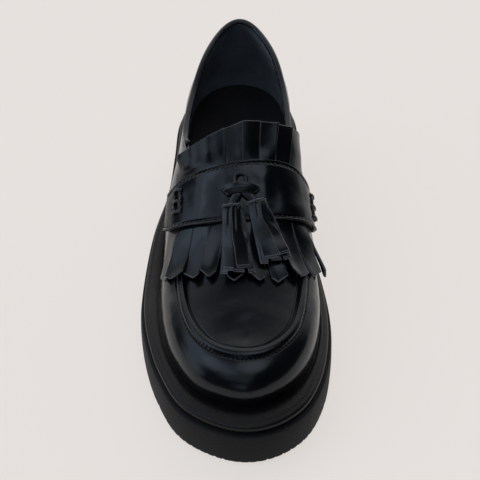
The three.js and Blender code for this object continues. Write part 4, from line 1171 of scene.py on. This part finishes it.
def strap_relief(share, w):
    t, s, _ = strap_place(share, w)
    from_front = strap_edge(s, 2) - t
    inside = np.minimum(np.minimum(t - strap_edge(s, 1), from_front), STRAP_REACH - np.abs(s))
    dip = STITCH_DIP * bell(inside - STITCH_IN, 0.62)
    edge = 0.12 * ease((1.9 - inside) / 1.2)
    lip = STRAP_LIP * ease(2.0 - from_front)
    swell = STRAP_SWELL * bell(inside - 8, 5)
    waves = sum(
        height * bell(t - at_t, reach_t) * bell(s - at_s, reach_s)
        for at_t, at_s, reach_t, reach_s, height in STRAP_WAVES
    )
    return edge - dip + lip + swell + waves


end_shares = np.linspace(0.92, 1, 12)
strap_shares = np.concatenate([-end_shares[::-1], np.linspace(-0.915, 0.915, 170), end_shares])
strap = Patchwork()
add_strip(strap, strap_shares, strap_place, STRAP_THICKNESS, STRAP_WIDTH / 2, 90, strap_relief)
strap.piece("strap_leather", strap_finish, "polished_leather", ["saddle_strap"])


def strap_top(s):
    return strap_seat(s) + STRAP_THICKNESS


# %% [markdown]
# ## Whip stitches on the strap's ends
# Each end of the strap is tacked with thick twisted cords: two that run along the foot and three rungs
# across them. They are round strips laid on the strap, and they sink in where they go through the leather.

# %% Cords laid over the instep
# The rows give t, s and height. Sink lowers both ends, waist narrows them, and crown raises the middle.
def add_cord(body, rows, width, thickness, count, sink=0.0, relief=None, waist=0.0, crown=0.09):
    rows = np.asarray(rows, float)
    path = curve_through(rows, np.linspace(0, len(rows) - 1, count), closed=False)
    run = unit(np.gradient(path[:, :2], axis=0))

    def place(share, w):
        arch = np.sin(math.pi * share)
        half = width / 2 * w * (1 - waist * (1 - arch ** 0.6))
        t = path[:, :1] - run[:, 1:] * half
        s = path[:, 1:2] + run[:, :1] * half
        return t, s, path[:, 2:] - sink * (1 - arch ** 0.35)

    def crowned(share, w):
        return width * crown * (1 - w ** 2) + (relief(share, w) if relief else 0)

    add_strip(body, np.linspace(0, 1, count), place, thickness, width / 2, 11, crowned)


def cord_twist(share, w):
    return TWIST_HEIGHT * np.sin(2 * math.pi * TWIST_TURNS * share + 2.2 * w)


CORD_WIDTH, CORD_SWAY, CORD_SINK, RUNG_SINK = 1.7, 0.35, 1.1, 1.6
RUNG_THICKNESS, RUNG_PAST, RUNGS_AT = 1.5, 1.3, (-3.2, 3.8, 10.4)
TWIST_HEIGHT, TWIST_TURNS = 0.16, 4.5
cords = Patchwork()
for first, second in ((-41.8, -37.5), (42.2, 46.4)):
    for s, t_from, t_to in ((first, -5.6, 12.2), (second, -4.6, 11.2)):
        height = strap_top(s) - 0.4
        rows = [(t, s + CORD_SWAY * math.sin(t), height) for t in np.linspace(t_from, t_to, 12)]
        add_cord(cords, rows, CORD_WIDTH, CORD_WIDTH, 60, CORD_SINK, cord_twist)
    for t in RUNGS_AT:
        places = np.linspace(first - RUNG_PAST, second + RUNG_PAST, 6)
        rows = [(t + CORD_SWAY * math.sin(s), s, strap_top(places[0]) + 0.35) for s in places]
        add_cord(cords, rows, CORD_WIDTH, RUNG_THICKNESS, 30, RUNG_SINK, cord_twist)
cords.piece("strap_whip_cords", roll_finish, "lace_leather")

# %% [markdown]
# ## Knot
# The tassels hang on a leather lace that comes through the strap in a loop and is tied over itself. The
# knot is five strips: the loop, a tongue inside it, the bar that is wrapped across, and the two ends that
# go down to the tassels.

# %% Knot of lace
LACE_SEAT = STRAP_SEAT + STRAP_THICKNESS + 0.3
# Rows of t, s and height over the strap.
LOOP = [
    (-1.5, -5.8, 0.3), (-5.0, -6.3, 0.2), (-7.6, -6.2, 0.2), (-9.0, -5.2, 0.3), (-9.5, -3.3, 0.3),
    (-9.0, -1.5, 0.3), (-7.6, -0.4, 0.2), (-5.0, -0.3, 0.2), (-1.5, -0.8, 0.3),
]
TONGUE = [(-8.0, -3.3, 0.1), (-6.6, -3.3, 0.7), (-4.6, -3.3, 1.5), (-2.6, -3.3, 2.2), (-1.0, -3.3, 1.6)]
BAR = [
    (1.9, -12.4, 0.0), (0.7, -11.0, 0.9), (-0.6, -7.6, 1.7), (-1.1, -3.6, 2.0),
    (-0.9, 0.2, 1.8), (-0.1, 3.5, 1.1), (1.5, 5.5, 0.0),
]
LATERAL_END = [(0.5, -4.0, 0.6), (3.2, -5.2, 0.9), (6.2, -6.9, 0.7), (9.2, -8.0, 0.7)]
MEDIAL_END = [(0.5, -2.4, 0.6), (2.4, -0.2, 0.9), (4.3, 2.4, 0.7), (6.2, 4.6, 0.7)]


def tongue_slope(share, w):
    return 0.45 * w


def lace_folds(share, w):
    upper_fold = 0.3 * bell(w - 0.45 + 0.5 * (share - 0.5) ** 2, 0.1)
    return -upper_fold - 0.2 * bell(w + 0.5 - 0.4 * share, 0.12)


# Columns: rows, width, thickness, relief, narrowing of the ends and crown of each part.
KNOT_PARTS = [
    (LOOP, 2.1, 1.9, None, 0.0, 0.14), (TONGUE, 3.6, 1.3, tongue_slope, 0.0, 0.05),
    (BAR, 6.3, 2.2, lace_folds, 0.14, 0.12),
    (LATERAL_END, 4.8, 1.7, None, 0.2, 0.08), (MEDIAL_END, 4.6, 1.7, None, 0.2, 0.08),
]
knot = Patchwork()
for rows, width, thickness, *shape in KNOT_PARTS:
    rows = [(t, s, LACE_SEAT + lift) for t, s, lift in rows]
    add_cord(knot, rows, width, thickness, 50, 0.0, *shape)
knot.piece("tassel_knot", knot_finish, "lace_leather", ["tassel_lace"])

# %% [markdown]
# ## Tassels
# A tassel is a piece of leather cut into strips, rolled up and bound. Each has five strips in two layers,
# gathered under a thread at the head and spread towards the tip. The strips are doubled leather, so every
# tip and side shows two thin plies. Near the head the folded strips are narrow and keep a crease.

# %% Tassels
TASSEL_SEAT = LACE_SEAT + STRAP_LIP + 0.2
# Columns: place across at the head and at the tip, half the width at both, height, length, sideways
# bend, tilt at the head and at the tip, rise of the tip, and where its fold runs across.
LATERAL_STRIPS = [
    (-2.4, -7.4, 2.0, 1.9, 0.0, 43.4, 0.3, 0.3, 0.4, 0.2, 0),
    (2.4, 7.8, 2.2, 2.0, 0.0, 43.8, 0.8, 0.3, -0.6, 0.3, 0),
    (0.0, 0.6, 2.4, 3.0, 0.3, 43.0, 0.4, 0.0, 0.3, 0.0, 0),
    (-2.8, -4.9, 2.3, 2.6, 1.7, 42.3, -0.4, 0.5, 0.45, 0.2, 0.1),
    (2.2, 3.4, 2.6, 3.7, 2.3, 41.2, -0.9, -0.9, -1.1, 0.5, -0.35),
]
MEDIAL_STRIPS = [
    (-2.6, -6.6, 2.0, 2.0, 0.0, 39.4, 0.3, 0.3, 0.4, 0.2, 0),
    (2.4, 6.8, 2.2, 2.3, 0.0, 39.6, 0.8, -0.4, -0.6, 0.3, 0),
    (0.0, 0.4, 2.4, 3.0, 0.3, 39.0, 0.2, 0.0, 0.4, 0.0, 0),
    (3.1, 5.1, 2.2, 3.2, 1.5, 37.0, -1.3, -1.2, -0.5, 2.2, 0),
    (-1.4, -2.6, 2.9, 4.2, 2.3, 37.8, -0.9, 0.7, 0.8, 0.4, 0.2),
]
PLY = 0.85
PLY_SHIFT, PLY_INSET, PLY_SHORT = 0.4, 0.12, 0.9
LAYER_HEIGHT, WAVE_HEIGHT, TIP_SLANT = 0.8, 0.3, 0.6
KINK_AT = 0.3
GATHER_HALF, GATHER_TURNS, GATHER_THREAD = 5.2, 12, 0.8
GATHER_DOWN, GATHER_ZIGZAG, GATHER_TOP, GATHER_DROP = 1.5, 0.35, 3.9, 2.6
PLEAT_DEPTH, PLEAT_REACH, CREASE_DEPTH = 0.25, 0.12, 0.55


def tassel_strip(body, hang, row, phase, ply):
    head, tip, head_half, tip_half, level, length, bend, head_tilt, tip_tilt, rise, fold = row

    def strip_place(share, w):
        opened = ease((share - KINK_AT) / 0.3)
        sway = bend * np.sin(math.pi * np.clip(share / 0.75, 0, 1)) ** 2
        middle = mix(head, tip, share ** 0.9) + sway - PLY_SHIFT * ply * np.sign(tip)
        half = mix(head_half, tip_half, opened) - PLY_INSET * ply
        slant = TIP_SLANT * w * np.sign(tip_tilt) * ease((share - 0.8) / 0.2)
        start = 0.3 + 0.5 * math.sin(3 * phase + 5 * head) + 0.3 * ply
        t, s = hang(start + (length - PLY_SHORT * ply - start) * share + slant, middle + half * w)
        wave = WAVE_HEIGHT * np.sin(7 * share + 2 * head + phase) * ease(share / 0.3)
        low = TASSEL_SEAT + LAYER_HEIGHT * level + PLY * ply + wave + mix(head_tilt, tip_tilt, opened) * w
        low = low + rise * ease((share - 0.6) / 0.4) - 0.5 * ease((0.08 - share) / 0.08)
        return t, s, np.maximum(low, TASSEL_SEAT + PLY * ply - 0.2)

    def folds(share, w):
        pleats = PLEAT_DEPTH * np.cos(math.pi * 3 * w) * ease((PLEAT_REACH - share) / PLEAT_REACH)
        closed = 1 - ease((share - KINK_AT) / 0.15)
        return pleats - (CREASE_DEPTH * closed * bell(w - fold, 0.16) if fold else 0)

    add_strip(body, STRIP_SHARES, strip_place, PLY, tip_half, 13, folds)


def add_tassel(body, head_t, head_s, tip_t, tip_s, strips, phase):
    run = unit(np.array([tip_t - head_t, tip_s - head_s]))

    def hang(down, off):
        return head_t + run[0] * down - run[1] * off, head_s + run[1] * down + run[0] * off

    for row in strips:
        for ply in (0, 1):
            tassel_strip(body, hang, row, phase, ply)
    rows = []
    for k, off in enumerate(np.linspace(-GATHER_HALF, GATHER_HALF, GATHER_TURNS)):
        down = GATHER_DOWN + GATHER_ZIGZAG * (-1) ** k
        high = GATHER_TOP - GATHER_DROP * (off / 5.4) ** 4
        rows.append((*hang(down, off), TASSEL_SEAT + high))
    add_cord(body, rows, GATHER_THREAD, GATHER_THREAD, 60)


# Columns: name, node, t and s of the head and of the tip, strips, and phase of their waves.
TASSELS = [
    ("lateral_tassel", "tassel_lateral", 8.5, -8, 52, -4.5, LATERAL_STRIPS, 0.0),
    ("medial_tassel", "tassel_medial", 6, 4.9, 44.5, 16.2, MEDIAL_STRIPS, 1.9),
]
for name, node, *hanging in TASSELS:
    tassel = Patchwork()
    add_tassel(tassel, *hanging)
    tassel.piece(name, lace_finish, "lace_leather", [node])

# %% [markdown]
# ## Stitches
# A sewing machine lays the same stitch at the same pitch along a line, which is just what Geometry Nodes
# are for. The line is a chain of vertices that each know which way is up from the leather. The tree turns
# the chain into a curve, sets points along it at the stitch pitch, puts a small capsule on each and lays
# it along the line. The result is made a plain mesh, because only real faces are exported.

# %% A Geometry Nodes tree for one row of stitches
STITCH_INPUTS = [
    ("Geometry", "Geometry"), ("Pitch", "Float"), ("Stitch length", "Float"), ("Thread radius", "Float"),
    ("Wander", "Float"), ("Thread", "Material"),
]
WANDER_SEED = 7


def stitch_tree():
    tree = bpy.data.node_groups.new("row_of_stitches", "GeometryNodeTree")
    for name, kind in STITCH_INPUTS:
        tree.interface.new_socket(name, in_out="INPUT", socket_type="NodeSocket" + kind)
    tree.interface.new_socket("Geometry", in_out="OUTPUT", socket_type="NodeSocketGeometry")
    given = tree.nodes.new("NodeGroupInput").outputs

    def add(kind, settings, inputs, output=0):
        return add_node(tree, kind, settings, inputs, output)

    def product(socket, factor):
        return add("ShaderNodeMath", {"operation": "MULTIPLY"}, {0: socket, 1: factor})

    # Points along the line, one stitch apart.
    curve = add("GeometryNodeMeshToCurve", {}, {"Mesh": given["Geometry"]})
    spacing = {"Curve": curve, "Length": given["Pitch"]}
    points = add("GeometryNodeResampleCurve", {"mode": "LENGTH"}, spacing)

    # The capsule's long axis follows the line, its upper side the leather, and each one strays a little.
    align = "FunctionNodeAlignRotationToVector"
    along = add(align, {"axis": "X"}, {"Vector": add("GeometryNodeInputTangent", {}, {})})
    lift = add("GeometryNodeInputNamedAttribute", {"data_type": "FLOAT_VECTOR"}, {"Name": "lift"})
    upright = add(align, {"axis": "Z", "pivot_axis": "X"}, {"Rotation": along, "Vector": lift})
    limits = {2: product(given["Wander"], -1.0), 3: given["Wander"], "Seed": WANDER_SEED}
    angle = add("FunctionNodeRandomValue", {"data_type": "FLOAT"}, limits, 1)
    turned = add("FunctionNodeAxisAngleToRotation", {}, {"Axis": (0, 0, 1), "Angle": angle})
    strayed = add("FunctionNodeRotateRotation", {"rotation_space": "LOCAL"}, {0: upright, 1: turned})

    ball = add("GeometryNodeMeshUVSphere", {}, {"Segments": 8, "Rings": 6, "Radius": 1.0}, "Mesh")
    half_length, radius = product(given["Stitch length"], 0.5), given["Thread radius"]
    size = add("ShaderNodeCombineXYZ", {}, {"X": half_length, "Y": radius, "Z": radius})
    copies = {"Points": points, "Instance": ball, "Rotation": strayed, "Scale": size}
    laid = add("GeometryNodeInstanceOnPoints", {}, copies)
    real = add("GeometryNodeRealizeInstances", {}, {"Geometry": laid})
    smooth = add("GeometryNodeSetShadeSmooth", {}, {"Geometry": real})
    dyed = add("GeometryNodeSetMaterial", {}, {"Geometry": smooth, "Material": given["Thread"]})
    tree.links.new(dyed, tree.nodes.new("NodeGroupOutput").inputs[0])
    return tree


STITCH_TREE = stitch_tree()
print("stitch tree", len(STITCH_TREE.nodes), "nodes")


# %% Run the tree along lines
def sew(name, lines, pitch, length, radius, wander=0.06):
    points = np.concatenate([line for line, up in lines])
    lifts = np.concatenate([up for line, up in lines])
    ends = np.cumsum([len(line) for line, up in lines])
    edges = [(k, k + 1) for k in range(len(points) - 1) if k + 1 not in ends]
    guide = bpy.data.meshes.new(name)
    guide.from_pydata(((points + PLAN_SHIFT) * MM).tolist(), edges, [])
    attribute = guide.attributes.new("lift", "FLOAT_VECTOR", "POINT")
    attribute.data.foreach_set("vector", lifts.ravel())
    sewing = bpy.data.objects.new(name, guide)
    scene.collection.objects.link(sewing)
    modifier = sewing.modifiers.new("stitches", "NODES")
    modifier.node_group = STITCH_TREE
    values = {
        "Pitch": pitch * MM, "Stitch length": length * MM, "Thread radius": radius * MM,
        "Wander": wander, "Thread": thread_finish,
    }
    for item in STITCH_TREE.interface.items_tree:
        if item.name in values:
            modifier[item.identifier] = values[item.name]
    bpy.context.view_layer.update()
    made = bpy.data.meshes.new_from_object(sewing.evaluated_get(bpy.context.evaluated_depsgraph_get()))
    bpy.data.objects.remove(sewing)
    stitches = bpy.data.objects.new(name, made)
    scene.collection.objects.link(stitches)
    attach(stitches, "root")
    made.calc_loop_triangles()
    print(name, len(made.loop_triangles), "triangles")


# %% Stitches on the strap
STITCH_REACH = STRAP_REACH - STITCH_IN
CORNER_FREE, END_FREE, END_IN = 1.8, 2.2, 0.6
THREAD_SUNK = 0.18
EDGE_ROWS = [(1, STITCH_IN), (2, -STITCH_IN)]


def on_strap(t, s):
    up = over(t, s, 5.0) - over(t, s, 4.0)
    return over(t, s, strap_top(s) - THREAD_SUNK), unit(up)


def end_row(side):
    near_end = np.array(side * (STITCH_REACH - END_IN))
    back, front = (float(strap_edge(near_end, column)) for column in (1, 2))
    corner = STITCH_IN + END_FREE
    return on_strap(np.linspace(back + corner, front - corner, 30), np.full(30, side * STITCH_REACH))


edge_s = np.linspace(-STITCH_REACH + CORNER_FREE, STITCH_REACH - CORNER_FREE, 240)
edge_rows = [on_strap(strap_edge(edge_s, column) + inward, edge_s) for column, inward in EDGE_ROWS]
sew("strap_stitches", [*edge_rows, end_row(-1), end_row(1)], pitch=2.8, length=1.9, radius=0.32)

# %% Stitches of the moccasin seam and the collar
def on_upper(first, last, u, depth):
    p = np.linspace(first, last, 500)
    normal = last_normal(p, u)
    return last_point(p, u) + normal * (seam_relief(p, u) - depth)[..., None], normal


seam_row = on_upper(5.9, 16.1, u=0.788, depth=0.05)
sew("seam_stitches", [seam_row], PUCKER_PITCH, length=1.7, radius=0.27, wander=0.22)
collar_row = on_upper(17.75, ROWS + 4.5, u=0.945, depth=-0.05)
sew("collar_stitches", [collar_row], pitch=2.4, length=1.8, radius=0.26)

# %% [markdown]
# ## Floor and light
# Black gloss shows only what it reflects, so the light is built as a dark room with soft panels in it: a
# low wide one behind the shoe, three at its outer side, a small one before the toe and one overhead. A
# weak lamp in front reaches into the mouth of the shoe. The floor gives off most of its own light, as a
# lit sweep does, so that the shoe's shadow stays faint.

# %% Floor
FLOOR_COLOUR, FLOOR_GLOW = (0.799, 0.760, 0.730, 1), 0.825
PAPER_COLOUR = (0.24, 0.22, 0.2, 1)
FLOOR_RADIUS, FLOOR_DROP = 3.0, 0.0002
sweep = bpy.data.materials.new("pale_sweep")
sweep.use_nodes = True
tree = sweep.node_tree
tree.nodes.remove(tree.nodes["Principled BSDF"])
lit = add_node(tree, "ShaderNodeEmission", {}, {"Color": FLOOR_COLOUR, "Strength": FLOOR_GLOW})
paper = add_node(tree, "ShaderNodeBsdfDiffuse", {}, {"Color": PAPER_COLOUR})
both = add_node(tree, "ShaderNodeAddShader", {}, {0: lit, 1: paper})
tree.links.new(both, tree.nodes["Material Output"].inputs["Surface"])

floor_work = bmesh.new()
bmesh.ops.create_circle(floor_work, cap_ends=True, segments=96, radius=FLOOR_RADIUS)
floor_mesh = bpy.data.meshes.new("floor")
floor_work.to_mesh(floor_mesh)
floor_work.free()
floor_mesh.transform(Matrix.Translation((0, 0, -FLOOR_DROP)))
floor_mesh.materials.append(sweep)
floor = bpy.data.objects.new("floor", floor_mesh)
scene.collection.objects.link(floor)

# %% Room light
# Each soft panel has a bearing from the toe and a height in degrees, the half angles of its bright
# middle and of its outer edge, and its colour.
SOFT_PANELS = [
    (-94, 48, 3, 28, (0.95, 1.09, 1.31)),
    (-66, 62, 3, 21, (0.62, 0.71, 0.85)),
    (-80, 15, 1, 24, (0.95, 1.05, 1.2)),
    (42, 81, 2, 21, (1.3, 1.38, 1.55)),
    (176, 8, 20, 78, (1.35, 1.32, 1.3)),
    (-10, 22, 1, 14, (0.42, 0.46, 0.52)),
]
ROOM_DARK = (0.02, 0.022, 0.029)

scene.world = bpy.data.worlds.new("room")
scene.world.use_nodes = True
room = scene.world.node_tree
direction = room.nodes.new("ShaderNodeTexCoord").outputs["Generated"]


def bearing(azimuth, height):
    azimuth, height = math.radians(azimuth), math.radians(height)
    return (math.sin(azimuth) * math.cos(height), -math.cos(azimuth) * math.cos(height), math.sin(height))


def vector_sum(operation, inputs, output=0):
    return add_node(room, "ShaderNodeVectorMath", {"operation": operation}, inputs, output)


glow = add_node(room, "ShaderNodeCombineXYZ", {}, dict(enumerate(ROOM_DARK)))
for azimuth, height, inner, outer, colour in SOFT_PANELS:
    facing = vector_sum("DOT_PRODUCT", {0: direction, 1: bearing(azimuth, height)}, 1)
    far, near = (math.cos(math.radians(angle)) for angle in (outer, inner))
    inputs = {"Value": facing, "From Min": far, "From Max": near}
    strength = add_node(room, "ShaderNodeMapRange", {"interpolation_type": "SMOOTHERSTEP"}, inputs)
    panel = vector_sum("SCALE", {0: colour, "Scale": strength})
    glow = vector_sum("ADD", {0: glow, 1: panel})
room.links.new(glow, room.nodes["Background"].inputs["Color"])

# %% Lamp for the mouth of the shoe
LAMP_PLACE, LAMP_AIM = Vector((-0.35, -1.1, 1.5)), Vector((0, 0, 0.05))
lamp = bpy.data.lights.new("mouth_panel", "AREA")
lamp.shape = "RECTANGLE"
lamp.size, lamp.size_y = 1.3, 1.0
lamp.energy = 1.6
lamp.color = (0.86, 0.93, 1.0)
mouth_panel = bpy.data.objects.new("mouth_panel", lamp)
mouth_panel.location = LAMP_PLACE
mouth_panel.rotation_euler = (LAMP_AIM - LAMP_PLACE).to_track_quat("-Z", "Y").to_euler()
scene.collection.objects.link(mouth_panel)
scene.view_settings.view_transform = "Standard"
print("room lit by", len(SOFT_PANELS), "soft panels and a lamp")
